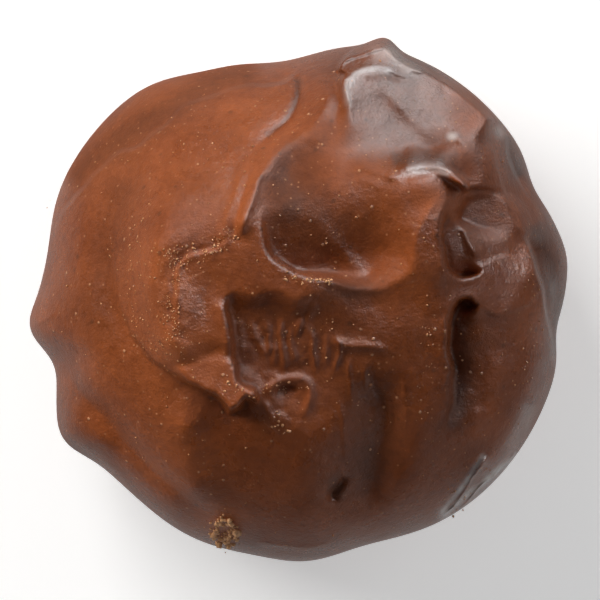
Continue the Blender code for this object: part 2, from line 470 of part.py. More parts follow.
def disc_grid(n):
    """Equal-area points of a disc from a square grid: radius 0..1 and bearing, row by row."""
    a, b = np.meshgrid(np.linspace(-1, 1, n + 1), np.linspace(-1, 1, n + 1))
    big = np.abs(a) > np.abs(b)
    r = np.where(big, a, b)
    safe_a, safe_b = np.where(a == 0, 1.0, a), np.where(b == 0, 1.0, b)
    turn = np.where(big, (math.pi / 4) * b / safe_a, math.pi / 2 - (math.pi / 4) * a / safe_b)
    turn = np.where((a == 0) & (b == 0), 0.0, turn)
    return np.abs(r).ravel(), np.where(r < 0, turn + math.pi, turn).ravel()


def border(n):
    """Indices of the grid's outer points, once round, anticlockwise."""
    low = [i for i in range(n)]
    right = [i * (n + 1) + n for i in range(n)]
    top = [n * (n + 1) + n - i for i in range(n)]
    left = [(n - i) * (n + 1) for i in range(n)]
    return np.array(low + right + top + left)


def to_plan(r, bearing):
    """Plan point of a grid point: rows crowd together where the dome turns down."""
    share = np.sin(r * math.pi / 2 * 0.97) / math.sin(math.pi / 2 * 0.97)
    reach = share * waist_radius(bearing)
    return reach * np.cos(bearing), reach * np.sin(bearing)


def wall_profile(v, bearing):
    """Radius share and height share down the wall, v = 0 at the waist and 1 at the underside."""
    tuck = FOOT_IN + 0.03 * np.sin(3 * bearing + 0.6) + 0.02 * np.sin(5 * bearing - 1.1)
    fall = np.sin(v * math.pi / 2)
    r = 1.0 - (1.0 - tuck) * (1.0 - np.cos(v * math.pi / 2)) ** 1.1
    return r, 1.0 - fall


def body_points(n, wall_rings, base_rings):
    r, bearing = disc_grid(n)
    px, py = to_plan(r, bearing)
    h, _ = surface(px, py)
    h = np.maximum(h, -WAIST + 2.0)
    pull = 1.0 - PLAN_TAPER * h
    pts = [np.stack([px * pull, py * pull, WAIST + h], 1)]
    rim = border(n)
    m = len(rim)
    rx, ry, rz = pts[0][rim].T
    turn = np.arctan2(ry, rx)
    size = np.hypot(rx, ry)
    rings = [rim]
    count = len(pts[0])
    for k in range(1, wall_rings + 1):
        rs, hs = wall_profile(np.full(m, k / float(wall_rings)), turn)
        rr = size * rs
        zz = rz * hs
        wx, wy = rr * np.cos(turn), rr * np.sin(turn)
        push = np.minimum(flank(wx, wy, zz, 1.0 - hs), size * (1.0 - rs))
        pts.append(np.stack([wx + push * np.cos(turn), wy + push * np.sin(turn), zz], 1))
        rings.append(np.arange(count, count + m))
        count += m
    last = pts[-1]
    for k in range(1, base_rings):
        s = 1.0 - k / float(base_rings)
        pts.append(np.stack([last[:, 0] * s, last[:, 1] * s, np.zeros(m)], 1))
        rings.append(np.arange(count, count + m))
        count += m
    pts.append(np.array([[0.0, 0.0, 0.0]]))
    return np.vstack(pts), rings, count


def build():
    for obj in list(bpy.data.objects):
        bpy.data.objects.remove(obj, do_unlink=True)
    pts, rings, pole = body_points(GRID, WALL_RINGS, BASE_RINGS)
    faces = []
    n = GRID
    for j in range(n):
        for i in range(n):
            a = j * (n + 1) + i
            faces.append((a, a + 1, a + n + 2, a + n + 1))
    for upper, lower in zip(rings[:-1], rings[1:]):
        m = len(upper)
        for i in range(m):
            k = (i + 1) % m
            faces.append((int(upper[i]), int(lower[i]), int(lower[k]), int(upper[k])))
    last = rings[-1]
    m = len(last)
    for i in range(m):
        faces.append((int(last[i]), pole, int(last[(i + 1) % m])))
    middle = (pts.min(0) + pts.max(0)) / 2.0
    pts = (pts - np.array([middle[0], middle[1], pts[:, 2].min()])) * MM
    mesh = bpy.data.meshes.new("truffle")
    mesh.from_pydata([tuple(float(c) for c in p) for p in pts], [], faces)
    mesh.validate()
    mesh.update()
    mesh.shade_smooth()
    obj = bpy.data.objects.new("truffle", mesh)
    bpy.context.scene.collection.objects.link(obj)

    coat = bpy.data.materials.new("milk_chocolate")
    coat.use_nodes = True
    shader = coat.node_tree.nodes["Principled BSDF"]
    shader.inputs["Base Color"].default_value = (0.22, 0.072, 0.028, 1.0)
    shader.inputs["Roughness"].default_value = 0.38
    shader.inputs["Metallic"].default_value = 0.0
    mesh.materials.append(coat)


build()
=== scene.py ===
"""Looks of a hand-dipped milk chocolate truffle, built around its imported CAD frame.

The folded coating is sculpted as one fine closed mesh from named lines and swellings (millimetres,
plan drawing seen from above), then fitted into the box of the CAD solid it stands for.
"""
import math

import bpy
import numpy as np
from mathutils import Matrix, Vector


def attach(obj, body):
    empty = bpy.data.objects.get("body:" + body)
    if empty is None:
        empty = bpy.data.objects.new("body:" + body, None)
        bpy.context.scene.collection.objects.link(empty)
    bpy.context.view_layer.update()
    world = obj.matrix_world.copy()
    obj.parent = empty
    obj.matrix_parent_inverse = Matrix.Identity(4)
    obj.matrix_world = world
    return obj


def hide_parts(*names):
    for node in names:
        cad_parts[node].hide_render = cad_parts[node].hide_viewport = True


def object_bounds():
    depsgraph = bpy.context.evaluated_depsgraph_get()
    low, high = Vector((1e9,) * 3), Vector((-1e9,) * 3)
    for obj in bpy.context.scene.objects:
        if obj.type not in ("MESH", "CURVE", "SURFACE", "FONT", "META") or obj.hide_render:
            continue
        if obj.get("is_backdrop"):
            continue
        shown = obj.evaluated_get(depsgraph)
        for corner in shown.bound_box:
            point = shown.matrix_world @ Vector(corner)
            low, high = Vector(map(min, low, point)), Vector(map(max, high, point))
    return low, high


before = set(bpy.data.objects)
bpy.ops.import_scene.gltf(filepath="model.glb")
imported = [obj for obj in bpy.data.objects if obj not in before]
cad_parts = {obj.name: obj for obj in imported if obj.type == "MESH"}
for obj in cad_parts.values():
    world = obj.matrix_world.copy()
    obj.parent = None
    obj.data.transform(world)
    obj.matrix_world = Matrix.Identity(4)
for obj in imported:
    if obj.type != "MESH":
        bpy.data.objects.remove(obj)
CAD_BOX = [[float(c) for c in corner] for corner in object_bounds()]

# ---------------------------------------------------------------- sizes, in millimetres
CROWN = 25.6            # height of the dome before its folds
WAIST = 8.2             # height of the widest section
GIRTH = 17.75           # plain radius of the widest section
DOME_P = 2.25           # fullness of the dome: 2 is an ellipse, more is boxier
PLAN_TAPER = 1 / 444.0  # the plan drawing closes in by this share for each mm above the waist
FOOT_IN = 0.80          # radius of the flat underside as a share of the waist

# swellings and dents of the widest section: bearing (deg, 0 = +X, 90 = +Y), rise, spread (deg)
WAIST_LOBES = (
    (9.5, 0.30, 6.0), (26.0, -0.48, 6.5), (52.0, 0.32, 26.0), (72.0, 0.72, 3.4),
    (95.0, -1.70, 15.0), (113.5, -0.68, 10.0), (170.0, -0.62, 11.5), (185.5, 0.55, 5.5),
    (195.0, -0.78, 7.0), (210.5, 0.80, 6.5), (227.0, -0.70, 18.0), (272.0, 0.83, 11.0),
    (276.0, -1.25, 22.0), (353.5, -0.48, 6.3),
)


def ease(t):
    t = np.clip(t, 0.0, 1.0)
    return t * t * (3.0 - 2.0 * t)


def waist_radius(bearing, narrowest=0.0):
    """Radius of the widest section at a bearing in radians, without the lobes narrower than asked."""
    deg = np.degrees(bearing)
    r = np.full(np.shape(deg), GIRTH)
    for centre, rise, spread in WAIST_LOBES:
        if spread >= narrowest:
            off = (deg - centre + 180.0) % 360.0 - 180.0
            r = r + rise * np.exp(-(off / spread) ** 2)
    return r


def dome_share(x, y):
    """Share of the way out to the waist; narrow lobes are felt only near the waist itself."""
    bearing, reach = np.arctan2(y, x), np.hypot(x, y)
    fine = np.minimum(reach / waist_radius(bearing), 1.0)
    broad = np.minimum(reach / waist_radius(bearing, 9.0), 1.0)
    near = ease((fine - 0.80) / 0.18)
    return fine * near + broad * (1.0 - near)


# ---------------------------------------------------------------- seeded noise
def _hash(ix, iy, iz, seed):
    n = (ix * 374761393 + iy * 668265263 + iz * 2147483647 + seed * 974634777) & 0xFFFFFFFF
    n = ((n ^ (n >> 13)) * 1274126177) & 0xFFFFFFFF
    n = ((n ^ (n >> 16)) * 2246822519) & 0xFFFFFFFF
    return ((n ^ (n >> 15)) & 0xFFFFFF) / float(0x800000) - 1.0


def noise(x, y, z, cell, seed):
    """Smooth noise from -1 to 1 whose bumps are about one cell across."""
    gx, gy, gz = x / cell, y / cell, z / cell
    ix, iy, iz = (np.floor(g).astype(np.int64) for g in (gx, gy, gz))
    fx, fy, fz = gx - ix, gy - iy, gz - iz
    fx, fy, fz = (f * f * f * (f * (f * 6.0 - 15.0) + 10.0) for f in (fx, fy, fz))
    out = 0.0
    for dx in (0, 1):
        wx = fx if dx else 1.0 - fx
        for dy in (0, 1):
            wy = fy if dy else 1.0 - fy
            for dz in (0, 1):
                wz = fz if dz else 1.0 - fz
                out = out + wx * wy * wz * _hash(ix + dx, iy + dy, iz + dz, seed)
    return out


def fractal(x, y, z, cell, seed, octaves=3, gain=0.5):
    out, amp, total = 0.0, 1.0, 0.0
    for k in range(octaves):
        out = out + amp * noise(x + 3.1 * k, y - 1.7 * k, z + 5.3 * k, cell / 2.0 ** k, seed + 17 * k)
        total += amp
        amp *= gain
    return out / total


# ---------------------------------------------------------------- folds drawn along smooth lines
def smooth_line(points, per=9):
    """A smooth line through a few named points."""
    p = np.asarray(points, float)
    if len(p) < 3:
        t = np.linspace(0.0, 1.0, per + 1)[:, None]
        return p[0] * (1 - t) + p[-1] * t
    ext = np.vstack([2 * p[0] - p[1], p, 2 * p[-1] - p[-2]])
    out = []
    for i in range(1, len(ext) - 2):
        a, b, c, d = ext[i - 1:i + 3]
        t = np.arange(per)[:, None] / float(per)
        out.append(0.5 * (2 * b + (c - a) * t + (2 * a - 5 * b + 4 * c - d) * t ** 2
                          + (3 * b - a - 3 * c + d) * t ** 3))
    out.append(p[-1:])
    return np.vstack(out)


def along(x, y, points, reach, fade):
    """Points within reach of a line: index, distance, side (-1 right .. 1 left), strength.

    Every stretch of the line pulls on a point with the fourth power of closeness, so the distance
    is exact beside the line and rounds off smoothly round its bends and past its ends.
    """
    line = smooth_line(points)
    lo, hi = line.min(0) - reach, line.max(0) + reach
    pick = np.nonzero((x > lo[0]) & (x < hi[0]) & (y > lo[1]) & (y < hi[1]))[0]
    px, py = x[pick], y[pick]
    pull = np.full(len(pick), 1e-12)
    side = np.zeros(len(pick))
    strength = np.zeros(len(pick))
    step = np.hypot(*(line[1:] - line[:-1]).T)
    length = np.concatenate([[0.0], np.cumsum(step)])
    for i in range(len(line) - 1):
        if step[i] < 1e-9:
            continue
        ux, uy = (line[i + 1] - line[i]) / step[i]
        rx, ry = px - line[i][0], py - line[i][1]
        s1 = rx * ux + ry * uy
        s0 = s1 - step[i]
        off = ux * ry - uy * rx
        hh = off * off + 1e-4
        w = (s1 * (2 * s1 * s1 + 3 * hh) / (hh + s1 * s1) ** 1.5
             - s0 * (2 * s0 * s0 + 3 * hh) / (hh + s0 * s0) ** 1.5) / (3 * hh * hh)
        t = np.clip(s1, 0.0, step[i])
        near = np.sqrt(hh + (s1 - t) ** 2)
        run = (length[i] + t) / length[-1]
        f = np.ones_like(run)
        if fade[0] > 0:
            f = f * ease(run / fade[0])
        if fade[1] > 0:
            f = f * ease((1.0 - run) / fade[1])
        w = np.maximum(w, 0.0)
        pull += w
        side += w * off / near
        strength += w * f
    return pick, (0.75 * pull) ** -0.25, side / pull, strength / pull


def ridge(x, y, z, points, rise, left, right, sharp=0.3, fade=(0.2, 0.2)):
    """A raised fold (or a groove, with a negative rise) with its own width on each side."""
    pick, dist, side, strength = along(x, y, points, 3.2 * max(left, right), fade)
    t = dist / (right + (left - right) * (0.5 + 0.5 * side))
    shape = (1 - sharp) * np.exp(-t ** 2) + sharp * np.exp(-1.7 * (np.sqrt(t ** 2 + 0.004) - 0.063))
    z[pick] += rise * shape * strength


def layer_edge(x, y, z, points, lift, cut, width, back, fore, fade=(0.15, 0.15)):
    """The edge of an overlapping layer: it stands proud on the left of the line, cut in on the right."""
    pick, dist, side, strength = along(x, y, points, 4.0 * max(back, fore), fade)
    u = ease(side * dist / width + 0.5)
    z[pick] += strength * (lift * u * np.exp(-dist / back) - cut * (1 - u) * np.exp(-dist / fore))


def patch(x, y, outline):
    """Share from 0 (outside) to 1 (inside) of a closed smooth outline of (x, y, wall width) points."""
    pts = np.asarray(outline, float)
    n = len(pts)
    per = 8
    ring = []
    for i in range(n):
        a, b, c, d = pts[i - 1], pts[i], pts[(i + 1) % n], pts[(i + 2) % n]
        t = np.arange(per)[:, None] / float(per)
        ring.append(0.5 * (2 * b + (c - a) * t + (2 * a - 5 * b + 4 * c - d) * t ** 2
                           + (3 * b - a - 3 * c + d) * t ** 3))
    ring = np.vstack(ring)
    lo, hi = ring.min(0), ring.max(0)
    pick = np.nonzero((x > lo[0]) & (x < hi[0]) & (y > lo[1]) & (y < hi[1]))[0]
    px, py = x[pick], y[pick]
    inside = np.zeros(len(pick), bool)
    weight = np.zeros(len(pick))
    wall = np.zeros(len(pick))
    best = np.full(len(pick), 1e9)
    for a, b in zip(ring, np.roll(ring, -1, axis=0)):
        ex, ey = b[0] - a[0], b[1] - a[1]
        size = ex * ex + ey * ey
        t = np.clip(((px - a[0]) * ex + (py - a[1]) * ey) / size, 0.0, 1.0)
        dist = (px - a[0] - t * ex) ** 2 + (py - a[1] - t * ey) ** 2
        best = np.minimum(best, dist)
        w = math.sqrt(size) / (dist + 0.02) ** 2
        weight += w
        wall += w * (a[2] + t * (b[2] - a[2]))
        if a[1] != b[1]:
            cross = ((a[1] > py) != (b[1] > py)) & (px < ex * (py - a[1]) / ey + a[0])
            inside ^= cross
    share = np.zeros_like(x)
    share[pick] = np.where(inside, ease(np.sqrt(best) / np.maximum(wall / weight, 0.05)), 0.0)
    return share


def swell(x, y, z, centre, half, turn, rise, power=2.0):
    """A soft oval swelling (or a dip, with a negative rise); a higher power is flatter on top."""
    c, s = math.cos(math.radians(turn)), math.sin(math.radians(turn))
    dx, dy = x - centre[0], y - centre[1]
    u, v = (dx * c + dy * s) / half[0], (-dx * s + dy * c) / half[1]
    z += rise * np.exp(-(u * u + v * v) ** (power / 2.0))


def press(x, y, z, outline, centre, level, slope, give=1.0):
    """Flatten a patch of the surface towards a tilted plane."""
    g = give * patch(x, y, outline)
    z += g * (level + slope[0] * (x - centre[0]) + slope[1] * (y - centre[1]) - z)
    return g


def blend_low(a, b, soft):
    """The lower of two surfaces, with the corner between them rounded off."""
    h = np.clip(0.5 + 0.5 * (b - a) / soft, 0.0, 1.0)
    return b * (1 - h) + a * h - soft * h * (1 - h)


def scoop(x, y, z, outline, centre, level, slope):
    """Scoop out a hollow with a slanting floor; outline points are (x, y, steepness of wall, softness).

    Where a wall is gentle the hollow simply runs out of the surface; where it is steep it has an edge.
    """
    pts = np.asarray(outline, float)
    n, per = len(pts), 8
    ring = []
    for i in range(n):
        a, b, c, d = pts[i - 1], pts[i], pts[(i + 1) % n], pts[(i + 2) % n]
        t = np.arange(per)[:, None] / float(per)
        ring.append(0.5 * (2 * b + (c - a) * t + (2 * a - 5 * b + 4 * c - d) * t ** 2
                           + (3 * b - a - 3 * c + d) * t ** 3))
    ring = np.vstack(ring)
    lo, hi = ring.min(0) - 7.0, ring.max(0) + 7.0
    pick = np.nonzero((x > lo[0]) & (x < hi[0]) & (y > lo[1]) & (y < hi[1]))[0]
    px, py = x[pick], y[pick]
    inside = np.zeros(len(pick), bool)
    weight, steep, round_off = np.zeros(len(pick)), np.zeros(len(pick)), np.zeros(len(pick))
    best = np.full(len(pick), 1e9)
    for a, b in zip(ring, np.roll(ring, -1, axis=0)):
        ex, ey = b[0] - a[0], b[1] - a[1]
        size = ex * ex + ey * ey
        t = np.clip(((px - a[0]) * ex + (py - a[1]) * ey) / size, 0.0, 1.0)
        dist = (px - a[0] - t * ex) ** 2 + (py - a[1] - t * ey) ** 2
        best = np.minimum(best, dist)
        w = math.sqrt(size) / (dist + 0.05) ** 2
        weight += w
        steep += w * (a[2] + t * (b[2] - a[2]))
        round_off += w * (a[3] + t * (b[3] - a[3]))
        if a[1] != b[1]:
            inside ^= ((a[1] > py) != (b[1] > py)) & (px < ex * (py - a[1]) / ey + a[0])
    soft = np.clip(round_off / weight, 0.04, 2.0)
    out = np.where(inside, -1.0, 1.0) * np.sqrt(best)
    out = 0.5 * (out + np.sqrt(out * out + soft * soft))
    dx, dy = px - centre[0], py - centre[1]
    cut = level + slope[0] * dx + slope[1] * dy + np.clip(steep / weight, 0.05, 12.0) * out
    z[pick] = blend_low(z[pick], cut, 0.15 + 0.8 * soft)


def spot(x, y, centre, half, turn=0.0, power=3.0):
    """Share from 1 in the middle of an oval to 0 well outside it."""
    z = np.zeros_like(x)
    swell(x, y, z, centre, half, turn, 1.0, power)
    return z


def streak(x, y, points, half, fade=(0.1, 0.1)):
    """Share from 1 on a line to 0 well away from it."""
    z = np.zeros_like(x)
    ridge(x, y, z, points, 1.0, half, half, 0.0, fade)
    return z


def surface(x, y):
    """Height over the waist, and share of the way out, for points of the plan drawing."""
    share = dome_share(x, y)
    still = np.zeros_like(x)
    x, y = (x + 0.24 * noise(x, y, still, 2.6, 41) + 0.10 * noise(x, y, still, 1.1, 43),
            y + 0.24 * noise(x, y, still, 2.6, 47) + 0.10 * noise(x, y, still, 1.1, 53))
    # the dome is fuller towards its upper right edge
    fuller = np.exp(-((np.arctan2(y, x) - 0.95) / 0.45) ** 2) * ease((share - 0.72) / 0.2)
    z = (CROWN - WAIST) * np.sqrt(np.maximum(1.0 - share ** (DOME_P + 1.7 * fuller), 0.0))

    # ---- broad forms -------------------------------------------------------------------------
    # the crown stands highest at the upper left
    swell(x, y, z, (-5.2, 5.6), (5.4, 4.0), 25.0, 0.8, 2.5)
    # the front is sunk, and the lower right a little
    swell(x, y, z, (-1.5, -8.0), (7.5, 6.5), 0.0, -1.1, 2.5)
    swell(x, y, z, (6.4, -5.0), (4.2, 5.5), 0.0, -1.1, 2.5)
    # shoulder right of the crown: a long slope facing left, then a sudden end
    ridge(x, y, z, [(9.0, 10.6), (9.4, 8.8), (9.7, 6.5), (9.6, 3.5), (9.3, 1.0), (8.9, -1.5)], 1.4, 0.9, 3.4, 0.1, (0.12, 0.5))
    swell(x, y, z, (7.3, 8.1), (1.9, 1.4), 8.0, 0.7, 2.0)
    ridge(x, y, z, [(8.8, 10.4), (9.2, 8.8), (9.5, 7.6), (9.7, 5.6), (9.6, 3.4)], 0.7, 0.8, 2.6, 0.1, (0.15, 0.45))
    # left flank: faces left as far as a soft edge, then turns down to the front
    ridge(x, y, z, [(-7.4, -5.4), (-7.9, -8.0), (-7.6, -11.0), (-6.6, -15.0)], 1.3, 1.7, 4.2, 0.0, (0.3, 0.25))
    swell(x, y, z, (-11.8, -11.6), (6.0, 2.0), -45.0, 1.2, 2.0)
    swell(x, y, z, (-14.7, 2.0), (2.8, 5.8), 6.0, 0.8, 2.0)
    # the long channel right of the front bulge
    ridge(x, y, z, [(4.2, -4.4), (5.4, -7.0), (5.5, -10.0), (4.4, -13.0), (3.4, -15.2)], -1.3, 1.3, 2.4, 0.0, (0.25, 0.3))
    # upper right face, flatter than the dome
    press(x, y, z, [(2.4, 10.0, 2.0), (2.3, 13.0, 0.8), (2.6, 15.2, 0.6), (4.4, 15.9, 0.6), (6.4, 15.9, 0.6), (9.4, 16.2, 0.6), (11.7, 14.8, 0.6),
                    (13.5, 13.1, 0.8), (13.0, 10.7, 1.5), (10.0, 9.8, 1.0), (7.8, 9.6, 0.9), (5.0, 8.8, 2.2)],
          (6.2, 12.4), 12.2, (-0.40, -0.40), 0.94)
    press(x, y, z, [(2.6, 15.6, 0.3), (3.6, 16.9, 0.3), (5.4, 17.6, 0.25), (6.6, 17.3, 0.25), (7.9, 16.4, 0.3), (9.2, 15.8, 0.3),
                    (7.0, 14.5, 0.5), (5.0, 15.0, 0.5), (3.6, 14.9, 0.4)],
          (5.6, 16.3), 10.6, (-0.38, -0.42), 0.92)
    # slope below the right-hand lump
    press(x, y, z, [(10.3, 5.4, 0.8), (11.0, 6.9, 0.6), (13.2, 7.5, 0.8), (15.4, 6.6, 1.4), (15.6, 4.4, 1.4), (13.4, 3.8, 1.4),
                    (11.4, 4.4, 1.0)],
          (12.8, 5.8), 10.9, (-0.42, -0.06), 0.9)

    swell(x, y, z, (4.4, -0.2), (3.0, 1.9), 10.0, -0.8, 2.2)
    # ---- thumb hollow: scooped slantwise, sharp at its left and front, deepest at the lower right ---
    scoop(x, y, z, [(-1.3, 9.2, 0.9, 0.5), (-2.0, 7.6, 1.2, 0.35), (-2.1, 6.0, 1.8, 0.25), (-1.95, 4.2, 2.6, 0.12), (-1.35, 2.8, 6.0, 0.08), (-0.4, 2.1, 9.0, 0.06),
                    (1.2, 1.8, 7.0, 0.10), (2.7, 1.5, 5.0, 0.3), (3.9, 1.6, 2.0, 0.9), (4.5, 2.3, 0.70, 1.6), (4.4, 3.6, 0.42, 1.6),
                    (3.6, 5.4, 0.36, 1.6), (2.2, 7.8, 0.30, 1.4), (0.4, 9.4, 0.40, 1.0)],
          (1.0, 4.2), 15.6, (-0.26, 0.30))
    # ---- rough sunken middle: a step down from the ledge above it, sloping to the front -----------
    scoop(x, y, z, [(-4.5, 0.1, 2.0, 0.3), (-3.2, -0.5, 1.4, 0.4), (-1.6, -0.3, 1.2, 0.4), (-0.4, -0.8, 1.3, 0.4), (1.0, -0.5, 1.1, 0.5),
                    (2.6, -1.4, 0.7, 0.7), (3.8, -2.4, 0.35, 1.2), (3.4, -4.6, 0.15, 1.2), (1.4, -5.6, 0.12, 1.2), (-1.2, -5.2, 0.2, 1.0),
                    (-2.8, -4.7, 0.9, 0.5), (-3.9, -4.3, 2.4, 0.2), (-4.4, -3.2, 3.0, 0.1), (-4.55, -1.4, 3.0, 0.1)],
          (-1.0, -2.5), 15.45, (-0.02, 0.25))
    ridge(x, y, z, [(-4.95, 0.4), (-5.0, -1.6), (-4.8, -3.6), (-4.4, -4.8)], 0.35, 0.3, 0.8, 0.3, (0.2, 0.2))

    # ---- oval hollow ---------------------------------------------------------------------------
    layer_edge(x, y, z, [(9.9, 6.6), (9.6, 5.0), (9.6, 3.2), (9.9, 2.1), (10.7, 1.6), (11.6, 1.75), (12.1, 2.3)][::-1],
               0.20, 2.3, 0.35, 0.5, 1.3, (0.15, 0.25))
    # ---- long groove, upright on its left ------------------------------------------------------
    layer_edge(x, y, z, [(11.9, -0.6), (11.1, -0.1), (10.4, -0.4), (10.15, -1.4), (10.1, -3.6), (10.05, -5.8), (9.8, -7.6), (9.3, -9.4)][::-1],
               0.25, 2.3, 0.42, 1.2, 2.0, (0.45, 0.06))

    # ---- left side -----------------------------------------------------------------------------
    # broad shoulder that sweeps down the left of the crown and hooks round to a pointed lip
    ridge(x, y, z, [(-7.2, 8.8), (-9.1, 5.5), (-9.6, 2.2), (-9.2, -0.9), (-8.0, -3.2), (-6.0, -4.8), (-4.2, -6.0)],
          2.2, 2.7, 1.6, 0.1, (0.35, 0.35))
    # the lip itself, tilted up towards its point
    press(x, y, z, [(-8.6, -4.3, 1.0), (-7.0, -3.0, 2.0), (-5.2, -2.7, 1.8), (-4.3, -3.8, 0.5), (-3.6, -5.2, 0.4), (-2.6, -6.0, 0.4),
                    (-2.7, -6.8, 0.35), (-3.4, -6.7, 0.35), (-3.9, -7.1, 0.4), (-4.6, -7.3, 0.4), (-5.2, -6.6, 0.35), (-6.6, -5.9, 0.3),
                    (-8.0, -5.2, 0.4)],
          (-4.8, -5.6), 17.0, (0.10, -0.08), 0.95)
    # its outer edge overlaps the skin below, most of all near the lip
    layer_edge(x, y, z, [(-12.0, 5.2), (-12.3, 2.4), (-12.1, -0.2), (-11.2, -2.3), (-9.9, -3.9), (-8.3, -5.0), (-6.5, -5.8), (-5.2, -6.4),
                         (-4.6, -7.0), (-3.9, -6.9), (-3.3, -6.5), (-2.6, -6.7)],
               0.15, 0.9, 0.22, 0.9, 1.4, (0.5, 0.05))
    # long shallow valley outside the shoulder
    ridge(x, y, z, [(-10.3, 11.0), (-12.2, 6.5), (-12.9, 2.5), (-12.5, -1.5), (-11.0, -5.0)], -0.9, 1.2, 1.5, 0.0, (0.4, 0.4))
    # inner layer edge, crumbly
    layer_edge(x, y, z, [(-7.8, -2.9), (-8.4, -0.6), (-8.2, 1.6), (-7.2, 2.9), (-5.6, 3.6), (-4.6, 4.4)][::-1],
               0.10, 0.20, 0.3, 0.6, 1.2, (0.1, 0.3))
    # the inner coat laps over the outer one at the upper left, which ends in a nearly level terrace
    layer_edge(x, y, z, [(0.2, 15.2), (-1.6, 14.5), (-4.6, 14.1), (-7.4, 12.9), (-9.6, 11.3), (-12.0, 9.8), (-14.3, 7.8),
                         (-15.6, 6.3), (-16.6, 4.0)], 0.25, 0.7, 0.35, 1.0, 1.6, (0.05, 0.1))

    # ---- upper middle ------------------------------------------------------------------------
    # folded strip from the rim down to the crown
    ridge(x, y, z, [(1.9, 15.4), (1.5, 12.8), (0.2, 11.0), (-1.7, 9.6), (-3.2, 7.4), (-3.6, 5.6), (-3.9, 4.2)], 0.85, 1.3, 0.9, 0.25, (0.15, 0.1))
    # crease along its left
    ridge(x, y, z, [(-0.1, 15.2), (-0.2, 13.5), (-1.1, 11.9), (-2.4, 10.9), (-3.6, 10.2)], -0.50, 0.30, 0.45, 0.5, (0.1, 0.35))
    # twin ridges either side of a narrow groove
    ridge(x, y, z, [(-3.6, 9.6), (-4.3, 7.8), (-4.7, 6.1), (-5.0, 4.7), (-5.5, 3.9)], 0.16, 0.25, 0.3, 0.6, (0.3, 0.1))
    ridge(x, y, z, [(-3.1, 9.2), (-3.7, 7.5), (-4.1, 5.8), (-4.4, 4.4)], -0.26, 0.28, 0.28, 0.5, (0.3, 0.1))
    ridge(x, y, z, [(-2.3, 9.0), (-2.9, 7.6), (-3.2, 6.2), (-3.7, 4.8), (-4.0, 4.2)], 0.20, 0.30, 0.25, 0.7, (0.2, 0.15))
    # dark dip right of the strip
    ridge(x, y, z, [(0.9, 11.4), (0.0, 9.4), (-0.8, 7.4), (-1.0, 6.2)], -0.35, 1.6, 1.5, 0.0, (0.4, 0.3))

    # ---- right side ----------------------------------------------------------------------------
    # sharp seam on the face of the shoulder
    ridge(x, y, z, [(9.1, 7.2), (8.3, 5.2), (7.7, 3.9), (7.3, 2.6), (7.0, 1.9)], 0.16, 0.5, 0.14, 0.9, (0.2, 0.2))
    # blade standing in the oval hollow
    ridge(x, y, z, [(10.7, 5.6), (11.2, 4.2), (12.0, 2.6)], 0.5, 0.6, 0.30, 0.5, (0.3, 0.3))
    # ridge to the right of the groove, curving down to the lower edge
    ridge(x, y, z, [(14.9, 4.4), (15.8, 2.0), (16.1, -0.5), (16.0, -3.5), (15.0, -7.0), (13.2, -10.0), (10.4, -13.4)],
          1.5, 0.8, 2.2, 0.1, (0.15, 0.2))
    # shoulder's bright upper edge, and the dip above it
    press(x, y, z, [(5.9, 7.9, 0.4), (7.2, 8.15, 0.35), (8.6, 8.35, 0.35), (9.8, 7.9, 0.35), (10.8, 7.2, 0.3), (11.1, 7.6, 0.3),
                    (10.2, 8.8, 0.35), (8.7, 9.35, 0.35), (7.3, 9.1, 0.35), (6.0, 8.5, 0.35)],
          (8.5, 8.8), 15.5, (-0.10, -0.53), 0.95)
    # lump on the upper right
    swell(x, y, z, (11.9, 9.9), (2.0, 2.2), 30.0, 0.9, 3.0)
    layer_edge(x, y, z, [(10.2, 6.4), (10.9, 7.3), (12.0, 7.55), (13.6, 7.5)], 0.35, 0.35, 0.4, 0.8, 0.9, (0.2, 0.4))
    # tongue lying on the upper right face, with a raised point
    ridge(x, y, z, [(5.9, 14.6), (6.4, 13.4), (7.6, 12.1), (9.0, 10.7), (10.2, 10.2)], 0.12, 2.0, 0.35, 0.3, (0.25, 0.1))
    ridge(x, y, z, [(6.4, 14.4), (8.0, 13.1), (9.4, 12.0), (10.6, 11.2)], 0.035, 0.25, 0.25, 0.5, (0.2, 0.1))
    swell(x, y, z, (10.45, 10.95), (0.55, 0.35), -20.0, 0.35, 2.0)
    ridge(x, y, z, [(3.2, 14.6), (4.0, 15.4), (5.2, 15.6), (6.6, 15.2), (7.8, 14.8)], 0.14, 0.4, 0.3, 0.5, (0.2, 0.2))
    ridge(x, y, z, [(2.4, 15.0), (3.4, 16.0), (5.0, 16.6), (6.2, 17.0)], -0.18, 0.25, 0.3, 0.6, (0.15, 0.1))
    ridge(x, y, z, [(6.2, 17.0), (6.3, 16.3), (7.0, 15.8), (8.4, 15.2)], 0.16, 0.25, 0.2, 0.7, (0.1, 0.2))
    # two small wrinkles where the face meets the shoulder
    ridge(x, y, z, [(3.6, 9.1), (5.0, 8.6), (6.4, 8.1)], 0.14, 0.3, 0.25, 0.6, (0.3, 0.3))
    ridge(x, y, z, [(3.4, 8.0), (4.6, 7.8), (5.8, 7.4)], 0.10, 0.3, 0.25, 0.6, (0.3, 0.3))
    # right edge: a lower shelf outside the upper coat
    layer_edge(x, y, z, [(17.05, -4.8), (16.8, -2.7), (16.35, -0.6), (16.05, 1.4), (15.7, 3.4), (15.0, 4.6)],
               0.3, 3.6, 0.25, 0.8, 3.0, (0.2, 0.15))
    layer_edge(x, y, z, [(15.6, 6.9), (14.7, 8.0), (13.9, 9.4), (13.7, 10.8), (13.3, 12.4)],
               0.0, 2.4, 0.25, 0.8, 2.2, (0.3, 0.2))
